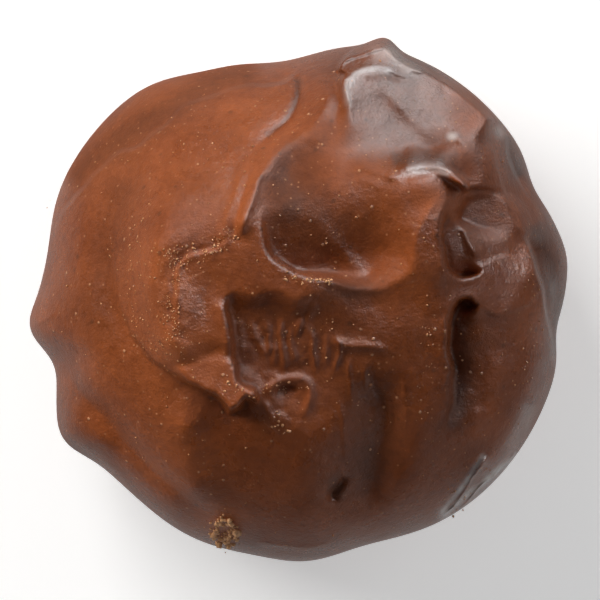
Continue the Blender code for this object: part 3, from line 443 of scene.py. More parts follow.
    # thin folds running down the lower right edge
    ridge(x, y, z, [(13.2, -10.6), (12.0, -12.2), (10.8, -13.2)], -0.40, 0.35, 0.3, 0.4, (0.25, 0.25))
    ridge(x, y, z, [(12.5, -10.0), (11.6, -11.4), (10.6, -12.9), (9.2, -14.6)], 0.85, 0.36, 0.20, 0.8, (0.12, 0.15))
    ridge(x, y, z, [(14.7, -9.8), (13.4, -11.1), (11.9, -12.5), (10.4, -13.8), (9.2, -14.8)], 0.95, 0.36, 0.22, 0.8, (0.12, 0.15))
    ridge(x, y, z, [(15.9, -5.5), (15.4, -7.4), (14.8, -9.4)], 0.25, 0.30, 0.25, 0.6, (0.3, 0.3))

    # ---- lower middle ----------------------------------------------------------------------
    # pocked lump below the rough middle
    ridge(x, y, z, [(-2.3, -6.3), (-1.5, -5.6), (-0.6, -5.4), (0.3, -5.6), (0.8, -6.4), (0.6, -7.4), (-0.3, -8.1)],
          0.36, 0.30, 0.40, 0.4, (0.12, 0.3))
    ridge(x, y, z, [(-2.3, -6.4), (-2.1, -7.3), (-1.7, -8.2), (-1.0, -8.8)], 0.25, 0.35, 0.30, 0.5, (0.2, 0.3))
    layer_edge(x, y, z, [(0.0, -6.3), (-0.5, -5.9), (-1.1, -5.8), (-1.7, -6.2)][::-1], 0.1, 0.45, 0.2, 0.3, 0.8, (0.2, 0.2))
    # soft level ridge right of the rough middle
    ridge(x, y, z, [(1.6, -2.2), (2.6, -2.8), (3.6, -2.9), (5.0, -3.1), (6.6, -3.7)], 0.30, 0.45, 0.30, 0.4, (0.2, 0.4))
    # fine upright wrinkles inside it
    for line, rise in WRINKLES:
        ridge(x, y, z, line, rise, 0.17, 0.14, 0.5, (0.25, 0.3))
    # small sharp dent
    ridge(x, y, z, [(2.9, -11.4), (2.6, -12.3), (2.1, -12.9), (2.9, -13.2)], -0.6, 0.40, 0.35, 0.5, (0.2, 0.3))
    # a hair-fine fold along the front edge and one at the left tip
    ridge(x, y, z, [(-3.4, -15.9), (-1.5, -16.3), (0.6, -16.5), (2.4, -16.3)], 0.25, 0.3, 0.25, 0.7, (0.2, 0.2))
    ridge(x, y, z, [(-17.5, -1.6), (-16.8, -1.3), (-15.9, -0.8)], 0.20, 0.25, 0.2, 0.8, (0.1, 0.4))

    # ---- lower left skirt -----------------------------------------------------------------------
    ridge(x, y, z, [(-16.3, -3.0), (-15.2, -5.0), (-13.8, -7.0), (-11.8, -9.2), (-9.4, -11.6), (-7.2, -13.5), (-5.2, -15.0)],
          -0.8, 0.7, 0.9, 0.25, (0.2, 0.2))
    # a broken chip with a hole, near the lower left edge
    ridge(x, y, z, [(-5.7, -14.9), (-5.0, -14.7), (-4.4, -15.2), (-4.5, -15.9), (-5.2, -16.0), (-5.7, -15.5)], 0.40, 0.25, 0.25, 0.6, (0.1, 0.1))
    swell(x, y, z, (-5.1, -15.4), (0.30, 0.26), 0.0, -0.35, 2.0)

    # everything rounds over into the wall
    z = blend_low(z, (CROWN - WAIST + 4.0) * np.sqrt(np.maximum(1.0 - share ** 7, 0.0)), 0.8)
    return z, share


# upright wrinkles: line and how far each stands out (mm)
WRINKLES = [
    ([(-3.4, -1.2), (-3.1, -2.2), (-2.6, -3.1), (-2.2, -4.0)], 0.26),
    ([(-2.4, -1.4), (-2.1, -2.4), (-2.0, -3.8)], 0.28),
    ([(-1.7, -2.4), (-1.6, -3.4), (-1.7, -4.6)], 0.20),
    ([(-1.3, -1.0), (-1.2, -2.4), (-1.0, -3.6), (-1.1, -5.2)], 0.30),
    ([(-0.5, -1.4), (-0.6, -2.6), (-0.3, -4.4)], 0.22),
    ([(0.2, -0.9), (-0.1, -1.7), (-0.3, -2.4)], 0.26),
    ([(1.0, 0.1), (0.7, -0.6), (0.4, -1.4)], 0.26),
    ([(0.3, -1.5), (0.8, -2.4), (0.9, -3.4), (1.0, -5.2)], 0.28),
    ([(1.7, -1.8), (1.6, -3.0), (1.8, -4.4)], 0.18),
    ([(2.1, -2.3), (2.5, -3.1), (2.4, -4.8)], 0.26),
    ([(-3.9, -1.0), (-4.0, -2.4), (-3.6, -4.0)], 0.18),
    ([(3.2, -3.4), (3.4, -5.2), (3.6, -7.2)], 0.18),
    ([(4.3, -3.6), (4.6, -5.6), (5.1, -8.4)], 0.16),
    ([(5.5, -4.4), (5.9, -6.4), (5.9, -9.0)], 0.14),
    ([(2.5, -6.0), (2.9, -8.4), (3.2, -11.0)], 0.14),
    ([(6.9, -4.6), (7.2, -6.6), (7.2, -8.6)], 0.12),
]


def flank(x, y, z, fall):
    """How far the side stands out (mm), below the waist; fall is 0 at the waist and 1 at the underside."""
    turn = np.arctan2(y, x)
    level = WAIST * (1.0 - fall)
    out = 0.45 * fractal(x, y, z, 6.5, 31, 3, 0.45)
    lap = 4.6 + 1.1 * np.sin(2 * turn + 0.7) + 0.6 * np.sin(5 * turn - 0.4) + 0.35 * np.sin(9 * turn + 2.0)
    out += 0.28 * ease((level - lap) / 0.45 + 0.5)
    low = 1.5 + 0.5 * np.sin(3 * turn + 1.9) + 0.3 * np.sin(7 * turn)
    out += 0.35 * ease((low - level) / 0.5 + 0.5) * ease((level + 0.1) / 0.5)
    out += 0.16 * np.sin(23 * turn + 2.0 * np.sin(3 * turn)) * ease((lap - level) / 1.5)
    return out * ease(fall / 0.25)


# ---------------------------------------------------------------- the fine mesh
MM = 0.001
GRID = 272            # faces across the dome, both ways
WALL_RINGS = 40       # rings of faces from the waist down to the underside


def disc_grid(n):
    """Equal-area points of a disc from a square grid: radius 0..1 and bearing, row by row."""
    a, b = np.meshgrid(np.linspace(-1, 1, n + 1), np.linspace(-1, 1, n + 1))
    big = np.abs(a) > np.abs(b)
    r = np.where(big, a, b)
    safe_a, safe_b = np.where(a == 0, 1.0, a), np.where(b == 0, 1.0, b)
    turn = np.where(big, (math.pi / 4) * b / safe_a, math.pi / 2 - (math.pi / 4) * a / safe_b)
    turn = np.where((a == 0) & (b == 0), 0.0, turn)
    return np.abs(r).ravel(), np.where(r < 0, turn + math.pi, turn).ravel()


def border(n):
    """Indices of the grid's outer points, once round, anticlockwise."""
    low = [i for i in range(n)]
    right = [i * (n + 1) + n for i in range(n)]
    top = [n * (n + 1) + n - i for i in range(n)]
    left = [(n - i) * (n + 1) for i in range(n)]
    return np.array(low + right + top + left)


def to_plan(r, bearing):
    share = np.sin(r * math.pi / 2 * 0.97) / math.sin(math.pi / 2 * 0.97)
    reach = share * waist_radius(bearing)
    return reach * np.cos(bearing), reach * np.sin(bearing)


def wall_profile(v, bearing):
    """Radius share and height share down the wall, v = 0 at the waist and 1 at the underside."""
    tuck = FOOT_IN + 0.03 * np.sin(3 * bearing + 0.6) + 0.02 * np.sin(5 * bearing - 1.1)
    fall = np.sin(v * math.pi / 2)
    r = 1.0 - (1.0 - tuck) * (1.0 - np.cos(v * math.pi / 2)) ** 1.1
    return r, 1.0 - fall


def skin(x, y):
    """Fine unevenness of the set chocolate (mm): soft ripples, grain and brush lines."""
    z0 = np.zeros_like(x)
    # the upper right face is calmer, and drawn out slantwise
    face = spot(x, y, (6.6, 12.8), (5.0, 3.6), -35.0)
    out = (0.034 * fractal(x, y, z0, 2.6, 5, 2) + 0.030 * fractal(x, y, z0, 0.7, 9, 3)) * (1.0 - 0.45 * face)
    out += face * (0.045 * noise((x - y) * 0.30, (x + y) * 0.8, z0, 1.0, 61) + 0.013 * noise((x - y) * 0.4, (x + y) * 1.9, z0, 0.7, 67))
    # the lip below that face is rounded over
    lip = np.interp(x, (6.2, 7.2, 8.6, 10.0, 10.9), (8.3, 8.55, 8.7, 8.5, 7.8))
    out += 0.32 * np.exp(-((y - lip - 0.55) / 0.38) ** 2) * ease((x - 6.4) / 0.9) * ease((10.6 - x) / 0.9)
    # brush lines round the upper left terrace
    band = spot(x, y, (-13.4, 11.0), (6.5, 1.6), 47.0)
    out += 0.05 * band * noise((x + y) * 0.25, (y - x) * 1.9, z0, 0.8, 21)
    # grain thickens in the rough middle and on the crumbly strips
    rough = spot(x, y, (-1.0, -2.6), (4.2, 3.0)) + streak(x, y, [(-8.3, 3.0), (-8.4, 0.0), (-7.6, -3.0)], 0.7) \
        + streak(x, y, [(-8.4, 2.6), (-6.4, 3.2), (-4.6, 4.4)], 0.7) + streak(x, y, [(-1.2, 1.6), (0.6, 1.5), (2.0, 1.4)], 0.5) \
        + spot(x, y, (-1.0, -7.2), (1.8, 1.6))
    return out + 0.13 * np.minimum(rough, 1.2) * np.maximum(fractal(x, y, z0, 0.55, 13, 2), -0.3)


def painted_shade_and_light(x, y):
    """Share of full colour, with shade and light painted in: below 1 where hollows, grooves, creases and slopes turned
    from the light are painted darker, above 1 where faces are painted lighter, as if more lit."""
    out = np.ones_like(x)
    # painted shade: darker colour where the surface should lie in shade
    for mask, dark in (
            (spot(x, y, (1.2, 4.0), (3.0, 2.6), -20.0), 0.31),
            (spot(x, y, (7.2, 15.2), (1.9, 1.0)), 0.42),
            (spot(x, y, (10.0, 10.0), (1.7, 1.3)), 0.22),
            (spot(x, y, (-11.2, 8.0), (1.5, 1.9)), 0.12),
            (spot(x, y, (-9.3, 0.0), (1.5, 1.8)), 0.13),
            (spot(x, y, (-9.5, -6.8), (1.9, 1.5)), 0.15),
            (spot(x, y, (-11.2, -4.0), (1.4, 1.7)), 0.12),
            (spot(x, y, (-15.0, 7.0), (1.3, 1.4)), 0.12),
            (spot(x, y, (0.0, -5.2), (1.8, 1.1)), 0.14),
            (spot(x, y, (3.0, -6.8), (1.1, 1.4)), 0.14),
            (spot(x, y, (4.0, -2.2), (2.2, 1.7)), 0.08),
            (streak(x, y, [(10.6, -0.8), (10.6, -4.0), (10.4, -7.0), (9.9, -8.8)], 0.7), 0.32),
            (spot(x, y, (-0.6, -2.2), (4.3, 2.4)), 0.22),
            (spot(x, y, (0.0, 8.4), (2.0, 2.9), -20.0), 0.40),
            (spot(x, y, (5.2, 6.2), (2.2, 3.0)), 0.20),
            (streak(x, y, [(-11.6, 8.6), (-12.6, 5.0), (-13.0, 1.0), (-12.8, -3.6)], 1.3), 0.24),
            (spot(x, y, (3.6, 0.8), (2.2, 0.9)), 0.40),
            (spot(x, y, (-15.2, -7.0), (1.4, 2.0), -30.0), 0.28),
            (spot(x, y, (-15.2, 0.0), (2.0, 2.4)), 0.18),
            (spot(x, y, (6.3, -1.6), (3.6, 2.0), -15.0), 0.10),
            (streak(x, y, [(4.0, -3.6), (5.2, -6.0), (5.3, -9.0), (4.3, -12.0), (3.6, -14.0)], 1.9, (0.1, 0.3)), 0.42),
            (streak(x, y, [(11.0, -0.8), (11.1, -4.0), (10.7, -7.0), (10.0, -9.5)], 1.0), 0.30),
            (spot(x, y, (11.0, 3.6), (1.3, 2.0)), 0.2),
            (streak(x, y, [(-15.9, 7.4), (-13.2, 9.8), (-10.4, 11.8), (-6.0, 14.4), (-2.0, 15.2)], 1.1), 0.40),
            (spot(x, y, (-11.6, 11.6), (2.4, 2.0), 45.0), 0.14),
            (spot(x, y, (-6.0, 7.6), (3.0, 1.6)), 0.10),
            (streak(x, y, [(2.6, 11.2), (4.6, 9.6), (8.8, 9.2)], 1.0), 0.16),
            (spot(x, y, (3.6, 15.7), (2.6, 1.0)), 0.25),
            (spot(x, y, (-0.8, 7.0), (1.2, 1.4)), 0.30),
            (spot(x, y, (6.6, 12.8), (5.0, 3.7), -35.0), 0.56),
            (streak(x, y, [(6.0, 9.4), (8.0, 9.5), (9.8, 9.5)], 0.55), 0.55),
            (streak(x, y, [(14.8, 8.2), (14.1, 9.8), (13.9, 11.2)], 0.5), 0.5),
            (streak(x, y, [(15.6, 5.6), (16.6, 2.6), (17.3, -1.0), (17.4, -4.0)], 0.8), 0.5),
            (spot(x, y, (-2.0, -10.5), (7.0, 4.5), 0.0, 2.0), 0.05),
            (spot(x, y, (10.5, -8.5), (6.0, 6.0), 0.0, 2.0), 0.04),
            (streak(x, y, [(-0.1, 15.2), (-0.2, 13.5), (-1.1, 11.9), (-2.4, 10.9)], 0.25), 0.5),
            (spot(x, y, (2.5, -12.5), (0.7, 0.9)), 0.6)):
        out *= 1.0 - dark * mask
    # painted light: lighter colour where the surface should read more lit
    for mask, more in (
            (spot(x, y, (9.0, 7.2), (1.5, 1.6)), 0.30),
            (spot(x, y, (-8.2, -3.0), (1.9, 1.5)), 0.26),
            (spot(x, y, (-10.0, 3.0), (1.7, 1.5)), 0.20),
            (streak(x, y, [(-5.6, 13.6), (-2.4, 12.6), (-0.8, 10.6)], 1.5), 0.18),
            (spot(x, y, (-8.0, -12.2), (5.0, 3.6), -25.0), 0.16),
            (spot(x, y, (-4.6, -3.0), (2.2, 1.2)), 0.12),
            (spot(x, y, (13.2, 10.4), (1.1, 2.0)), 0.22),
            (spot(x, y, (11.4, 8.4), (1.1, 1.0)), 0.10),
            (spot(x, y, (-5.0, -14.6), (1.8, 1.1)), 0.26),
            (spot(x, y, (-3.0, 5.2), (1.1, 1.3)), 0.16),
            (spot(x, y, (7.4, 1.0), (1.4, 1.4)), 0.14),
            (spot(x, y, (15.0, -0.6), (1.1, 3.0)), 0.15),
            (spot(x, y, (3.0, 7.0), (1.3, 1.3)), 0.14),
            (streak(x, y, [(13.4, -3.0), (12.8, -6.6), (11.4, -9.4)], 0.9), 0.14)):
        out += more * mask
    return out


def matt(x, y):
    """Share of dullness: dry, rubbed or crumbly places shine less."""
    out = np.zeros_like(x)
    for mask, share in (
            (spot(x, y, (0.8, 8.6), (3.3, 2.9), -15.0), 1.0),
            (spot(x, y, (-1.2, 7.2), (1.8, 1.7)), 1.0),
            (spot(x, y, (4.0, 8.7), (2.2, 1.3)), 0.9),
            (spot(x, y, (8.4, 6.9), (1.8, 1.3)), 0.95),
            (spot(x, y, (11.0, 9.2), (1.1, 1.3)), 0.9),
            (spot(x, y, (-7.0, 5.0), (2.6, 2.0), 30.0), 0.6),
            (spot(x, y, (-3.6, -5.0), (1.2, 1.2)), 0.7),
            (spot(x, y, (-0.6, -2.6), (4.0, 2.4)), 0.45),
            (spot(x, y, (-0.2, -6.3), (1.9, 1.5)), 0.70),
            (streak(x, y, [(0.2, 2.1), (2.2, 1.8), (4.2, 1.8)], 0.6), 0.7),
            (streak(x, y, [(2.0, 1.1), (4.4, 0.8), (6.0, 1.2)], 0.6), 0.9),
            (spot(x, y, (1.8, 11.0), (2.2, 1.6)), 0.9),
            (spot(x, y, (12.8, 5.6), (2.0, 1.6)), 0.6),
            (spot(x, y, (14.8, 6.2), (1.5, 2.0)), 0.5),
            (spot(x, y, (9.4, 10.7), (1.3, 0.9)), 0.6),
            (spot(x, y, (11.2, 12.6), (1.4, 1.7)), 0.50),
            (streak(x, y, [(5.0, 14.3), (6.5, 12.6), (9.4, 10.3)], 0.4), 0.30),
            (streak(x, y, [(4.3, 14.9), (5.6, 15.0), (6.8, 14.7)], 0.22), 0.40),
            (streak(x, y, [(10.2, -4.6), (10.35, -6.4), (10.2, -8.2)], 0.5), 0.9),
            (streak(x, y, [(-15.9, 7.4), (-13.2, 10.2), (-10.4, 12.4), (-6.0, 14.8), (-2.0, 15.6)], 1.6), 0.75),
            (streak(x, y, [(-8.4, 3.0), (-8.6, 0.0), (-7.8, -3.0), (-5.4, -5.0)], 1.0), 0.6)):
        out = np.maximum(out, share * mask)
    # and a few folded edges are polished smooth
    for line, half, share in (([(6.2, 8.3), (7.2, 8.65), (8.6, 8.85), (10.0, 8.6), (10.9, 7.8)], 0.6, 0.34),
                              ([(12.5, -10.0), (11.6, -11.4), (10.6, -12.9), (9.2, -14.6)], 0.4, 0.34),
                              ([(14.7, -9.8), (13.4, -11.1), (11.9, -12.5), (10.4, -13.8), (9.2, -14.8)], 0.4, 0.34),
                              ([(3.1, 14.0), (3.9, 15.2), (5.2, 15.5), (6.6, 15.2)], 0.45, 0.18),
                              ([(3.2, 14.2), (3.2, 13.0), (3.6, 11.6)], 0.4, 0.16)):
        out -= share * streak(x, y, line, half)
    return out


def painted_edge_highlight(x, y):
    """Share of painted highlight: a pale colour laid along folded and drawn-out edges and on a few spots where
    highlights should show.
    """
    out = np.zeros_like(x)
    for line, half, share in (([(12.4, -10.1), (11.5, -11.5), (10.5, -12.9), (9.3, -14.4)], 0.18, 1.0),
                              ([(14.4, -10.3), (13.2, -11.3), (11.8, -12.5), (10.4, -13.6), (9.3, -14.5)], 0.22, 1.0),
                              ([(15.5, -6.8), (15.0, -8.4), (14.4, -10.0)], 0.55, 0.35),
                              ([(16.9, 1.6), (17.2, -1.5), (17.1, -4.2)], 0.28, 0.35),
                              ([(3.3, 12.8), (3.2, 14.2), (3.9, 15.2), (5.2, 15.5), (6.4, 15.3)], 0.24, 0.26),
                              ([(4.7, 16.5), (6.0, 16.6), (6.9, 15.8), (8.2, 15.1)], 0.40, 0.40),
                              ([(7.0, 8.6), (8.6, 8.8), (10.2, 8.5)], 0.32, 0.38)):
        out = np.maximum(out, share * streak(x, y, line, half))
    for middle, size, share in (((10.2, 11.0), (0.4, 0.3), 0.5), ((13.4, 11.3), (0.4, 0.5), 0.4)):
        out = np.maximum(out, share * spot(x, y, middle, size))
    return out * (0.75 + 0.25 * np.clip(noise(x, y, np.zeros_like(x), 0.6, 83), -1.0, 1.0))


def body_mesh(n, rings_down):
    """Points (mm) and faces of the whole coat: dome grid, wall, flat underside."""
    r, bearing = disc_grid(n)
    px, py = to_plan(r, bearing)
    h, _ = surface(px, py)
    h = np.maximum(h + skin(px, py) * ease((1.0 - r) / 0.12), -WAIST + 2.0)
    pull = 1.0 - PLAN_TAPER * h
    pts = [np.stack([px * pull, py * pull, WAIST + h], 1)]
    idx = np.arange((n + 1) * (n + 1)).reshape(n + 1, n + 1)
    quads = np.stack([idx[:-1, :-1], idx[:-1, 1:], idx[1:, 1:], idx[1:, :-1]], -1).reshape(-1, 4)
    tris = []
    rim = border(n)
    top = rim
    count = len(pts[0])
    rx, ry, rz = pts[0][rim].T
    turn_all, size_all, high_all = np.arctan2(ry, rx), np.hypot(rx, ry), rz
    step = 1
    for k in range(1, rings_down + 1):
        if k == 2:
            step = 2
        turn, size, high = turn_all[::step], size_all[::step], high_all[::step]
        m = len(turn)
        rs, hs = wall_profile(np.full(m, k / float(rings_down)), turn)
        wx, wy, wz = size * rs * np.cos(turn), size * rs * np.sin(turn), high * hs
        push = np.minimum(flank(wx, wy, wz, 1.0 - hs), size * (1.0 - rs))
        if k < rings_down:
            push = push + 0.05 * fractal(wx, wy, wz, 0.9, 77, 2) * ease((1.0 - hs) / 0.3)
        pts.append(np.stack([wx + push * np.cos(turn), wy + push * np.sin(turn), wz], 1))
        low = np.arange(count, count + m)
        count += m
        if len(top) == m:
            quads = np.vstack([quads, np.stack([top, low, np.roll(low, -1), np.roll(top, -1)], 1)])
        else:
            t0, t1, t2 = top[0::2], top[1::2], np.roll(top, -2)[0::2]
            l0, l1 = low, np.roll(low, -1)
            tris += [np.stack([t0, l0, t1], 1), np.stack([t1, l0, l1], 1), np.stack([t1, l1, t2], 1)]
        top = low
    last = pts[-1]
    for s in (0.93, 0.8, 0.6, 0.35):
        m = len(last)
        pts.append(np.stack([last[:, 0] * s, last[:, 1] * s, np.zeros(m)], 1))
        low = np.arange(count, count + m)
        count += m
        quads = np.vstack([quads, np.stack([top, low, np.roll(low, -1), np.roll(top, -1)], 1)])
        top = low
    pts.append(np.array([[0.0, 0.0, 0.0]]))
    tris.append(np.stack([top, np.full(len(top), count), np.roll(top, -1)], 1))
    shade = np.ones(count + 1)
    shade[:len(px)] = painted_shade_and_light(px, py)
    dull = np.zeros(count + 1)
    dull[:len(px)] = matt(px, py)
    pale = np.zeros(count + 1)
    pale[:len(px)] = painted_edge_highlight(px, py) * ease((WAIST + h - 9.0) / 5.0)     # the painted highlight ends on the upper wall
    return np.vstack(pts), quads, np.vstack(tris), shade, dull, pale


def make_mesh(name, pts, quads, tris):
    mesh = bpy.data.meshes.new(name)
    nq, nt = len(quads), len(tris)
    mesh.vertices.add(len(pts))
    mesh.vertices.foreach_set("co", np.asarray(pts, np.float32).ravel())
    mesh.loops.add(4 * nq + 3 * nt)
    mesh.loops.foreach_set("vertex_index", np.concatenate([np.ravel(quads), np.ravel(tris)]).astype(np.int32))
    mesh.polygons.add(nq + nt)
    starts = np.concatenate([np.arange(nq) * 4, 4 * nq + np.arange(nt) * 3]).astype(np.int32)
    mesh.polygons.foreach_set("loop_start", starts)
    mesh.update(calc_edges=True)
    mesh.validate()
    mesh.shade_smooth()
    obj = bpy.data.objects.new(name, mesh)
    bpy.context.scene.collection.objects.link(obj)
    return obj


# ---------------------------------------------------------------- materials
def chocolate(name, toned):
    """Set milk chocolate; toned reads the coat's painted shade and light and its painted edge highlights, otherwise the
    crumbs' own paleness.
    """
    mat = bpy.data.materials.new(name)
    mat.use_nodes = True
    nt = mat.node_tree
    nodes, links = nt.nodes, nt.links
    p = nodes["Principled BSDF"]
    p.inputs["IOR"].default_value = 1.45
    where = nodes.new("ShaderNodeNewGeometry").outputs["Position"]

    def noise_node(scale, detail, rough, vec=where):
        t = nodes.new("ShaderNodeTexNoise")
        t.inputs["Scale"].default_value = scale
        t.inputs["Detail"].default_value = detail
        t.inputs["Roughness"].default_value = rough
        links.new(vec, t.inputs["Vector"])
        return t.outputs["Fac"]

    def spread(fac, low, high, to_low, to_high):
        m = nodes.new("ShaderNodeMapRange")
        m.inputs["From Min"].default_value = low
        m.inputs["From Max"].default_value = high
        m.inputs["To Min"].default_value = to_low
        m.inputs["To Max"].default_value = to_high
        links.new(fac, m.inputs["Value"])
        return m.outputs["Result"]

    def maths(kind, a, b):
        m = nodes.new("ShaderNodeMath")
        m.operation = kind
        for k, v in enumerate((a, b)):
            if isinstance(v, float):
                m.inputs[k].default_value = v
            else:
                links.new(v, m.inputs[k])
        return m.outputs[0]

    def mix(fac, a, b):
        m = nodes.new("ShaderNodeMix")
        m.data_type = "RGBA"
        links.new(fac, m.inputs["Factor"])
        for key, v in (("A", a), ("B", b)):
            if isinstance(v, tuple):
                m.inputs[key].default_value = v
            else:
                links.new(v, m.inputs[key])
        return m.outputs["Result"]

    def dots(scale, reach, share):
        """Tiny round specks: 1 inside a speck, 0 outside."""
        v = nodes.new("ShaderNodeTexVoronoi")
        v.inputs["Scale"].default_value = scale
        links.new(where, v.inputs["Vector"])
        pick = nodes.new("ShaderNodeSeparateColor")
        links.new(v.outputs["Color"], pick.inputs["Color"])
        inside = spread(v.outputs["Distance"], reach * 0.5, reach, 1.0, 0.0)
        return maths("MULTIPLY", inside, maths("GREATER_THAN", pick.outputs[0], 1.0 - share))

    # colour: broad clouds, fine mottling, painted shade and painted light on the coat, painted highlights along its
    # folded edges, pale and dark specks
    ramp = nodes.new("ShaderNodeValToRGB")
    ramp.color_ramp.elements[0].position = 0.37
    ramp.color_ramp.elements[0].color = (0.208, 0.0485, 0.0116, 1)
    ramp.color_ramp.elements[1].position = 0.63
    ramp.color_ramp.elements[1].color = (0.352, 0.0910, 0.0250, 1)
    fine = maths("ADD", maths("MULTIPLY", noise_node(170.0, 4.0, 0.55), 0.50), maths("MULTIPLY", noise_node(1700.0, 5.0, 0.75), 0.50))
    links.new(fine, ramp.inputs["Fac"])
    colour = ramp.outputs["Color"]
    if not toned:
        pale = nodes.new("ShaderNodeAttribute")
        pale.attribute_name = "pale"
        colour = mix(pale.outputs["Fac"], colour, (0.95, 0.52, 0.25, 1))
    if toned:
        shade_light_attr = nodes.new("ShaderNodeAttribute")
        shade_light_attr.attribute_name = "painted_shade_and_light"
        # painted shade: towards dark brown where the coat's attribute is below 1; painted light: towards light
        # orange-brown above 1
        colour = mix(spread(shade_light_attr.outputs["Fac"], 0.0, 1.0, 1.0, 0.0), colour, (0.030, 0.014, 0.008, 1))
        colour = mix(spread(shade_light_attr.outputs["Fac"], 1.0, 2.0, 0.0, 1.0), colour, (0.62, 0.166, 0.046, 1))
        # painted highlight: pale grey-white colour along folded edges, carried by the pale attribute
        edge = nodes.new("ShaderNodeAttribute")
        edge.attribute_name = "pale"
        colour = mix(edge.outputs["Fac"], colour, (0.88, 0.83, 0.80, 1))
    colour = mix(maths("MULTIPLY", dots(1250.0, 0.16, 0.22), 0.75), colour, (0.66, 0.32, 0.16, 1))
    colour = mix(maths("MULTIPLY", dots(2300.0, 0.22, 0.22), 0.45), colour, (0.60, 0.27, 0.13, 1))
    colour = mix(maths("MULTIPLY", dots(900.0, 0.20, 0.16), 0.45), colour, (0.07, 0.025, 0.010, 1))
    links.new(colour, p.inputs["Base Color"])

    # gloss: satin, with duller clouds
    gloss = spread(noise_node(420.0, 4.0, 0.6), 0.3, 0.7, 0.22, 0.36)
    if toned:
        dry = nodes.new("ShaderNodeAttribute")
        dry.attribute_name = "matt"
        gloss = maths("ADD", gloss, maths("MULTIPLY", dry.outputs["Fac"], 0.42))
        shine = maths("ADD", spread(dry.outputs["Fac"], 0.0, 1.0, 0.5, 0.14), spread(dry.outputs["Fac"], -0.34, 0.0, 0.45, 0.0))
        links.new(shine, p.inputs["Specular IOR Level"])
    links.new(gloss, p.inputs["Roughness"])

    # relief too fine for the mesh
    bump = nodes.new("ShaderNodeBump")
    bump.inputs["Strength"].default_value = 0.75
    bump.inputs["Distance"].default_value = 0.00010
    grain = maths("ADD", noise_node(2400.0, 5.0, 0.65), maths("MULTIPLY", noise_node(6500.0, 3.0, 0.6), 0.45))
    grain = maths("ADD", grain, maths("MULTIPLY", dots(1250.0, 0.16, 0.22), 0.6))
    links.new(grain, bump.inputs["Height"])
    links.new(bump.outputs["Normal"], p.inputs["Normal"])
    return mat


# ---------------------------------------------------------------- the pieces
pts, quads, tris, shade, dull, edges = body_mesh(GRID, WALL_RINGS)
middle = (pts.min(0) + pts.max(0)) / 2.0
base = pts[:, 2].min()
pts = pts - np.array([middle[0], middle[1], base])
low, high = np.array(CAD_BOX[0]) / MM, np.array(CAD_BOX[1]) / MM
room = (high - low) / (pts.max(0) - pts.min(0)) * 0.9995
pts = pts * np.minimum(room, 1.0)
coat = make_mesh("coat", pts * MM, quads, tris)
coat.data.attributes.new("painted_shade_and_light", "FLOAT", "POINT").data.foreach_set("value", shade.astype(np.float32))
coat.data.attributes.new("matt", "FLOAT", "POINT").data.foreach_set("value", dull.astype(np.float32))
# the coat's pale attribute carries its painted edge highlight
coat.data.attributes.new("pale", "FLOAT", "POINT").data.foreach_set("value", edges.astype(np.float32))
coat.data.materials.append(chocolate("milk_chocolate_coat", True))
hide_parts("truffle")
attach(coat, "root")


def crumbs_mesh():
    """Loose crumbs and flakes stuck to the coat: (points, faces), mm, in the coat's own plan."""
    rnd = np.random.RandomState(7)
    gold = (1 + 5 ** 0.5) / 2
    ico = np.array([(-1, gold, 0), (1, gold, 0), (-1, -gold, 0), (1, -gold, 0), (0, -1, gold), (0, 1, gold), (0, -1, -gold),
                    (0, 1, -gold), (gold, 0, -1), (gold, 0, 1), (-gold, 0, -1), (-gold, 0, 1)]) / math.hypot(1, gold)
    near = [sorted((j for j in range(12) if j != i), key=lambda j: np.sum((ico[i] - ico[j]) ** 2))[:5] for i in range(12)]
    faces = sorted({tuple(sorted((i, j, k))) for i in range(12) for j in near[i] for k in near[i] if k in near[j] and j < k})
    faces = [f if np.dot(np.cross(ico[f[1]] - ico[f[0]], ico[f[2]] - ico[f[0]]), ico[f[0]]) > 0 else (f[0], f[2], f[1]) for f in faces]
    spots, sizes, pales = [], [], []
    for line, wide, count, size, pale in CRUMB_LINES:
        run = smooth_line(line)
        t = rnd.rand(count) * (len(run) - 1)
        i = t.astype(int)
        at = run[i] + (run[np.minimum(i + 1, len(run) - 1)] - run[i]) * (t - i)[:, None]
        spots.append(at + rnd.randn(count, 2) * wide)
        sizes.append(size * (0.5 + rnd.rand(count) ** 2))
        pales.append(pale * (0.6 + 0.4 * rnd.rand(count)))
    count = 150
    turn, out = rnd.rand(count) * 2 * math.pi, np.sqrt(rnd.rand(count)) * 0.93
    reach = out * waist_radius(turn)
    spots.append(np.stack([reach * np.cos(turn), reach * np.sin(turn)], 1))
    sizes.append(0.045 + 0.04 * rnd.rand(count) ** 3)
    pales.append(0.3 + 0.4 * rnd.rand(count))
    spots, sizes, pales = np.vstack(spots), np.concatenate(sizes), np.concatenate(pales)
    h, _ = surface(spots[:, 0].copy(), spots[:, 1].copy())
    pull = 1.0 - PLAN_TAPER * h
    centres = np.stack([spots[:, 0] * pull, spots[:, 1] * pull, WAIST + h + sizes * 0.25], 1)
    out = []
    for c, s in zip(centres, sizes):
        shape = ico * (0.75 + 0.5 * rnd.rand(12, 1)) * np.array([1.0, 0.6 + 0.8 * rnd.rand(), 0.5 + 0.4 * rnd.rand()])
        a = rnd.rand() * math.pi
        turned = np.stack([shape[:, 0] * math.cos(a) - shape[:, 1] * math.sin(a), shape[:, 0] * math.sin(a) + shape[:, 1] * math.cos(a),
                           shape[:, 2]], 1)
        out.append(c + turned * s)
    faces = np.array(faces)
    return np.vstack(out), np.vstack([faces + 12 * k for k in range(len(out))]), np.repeat(pales, 12)


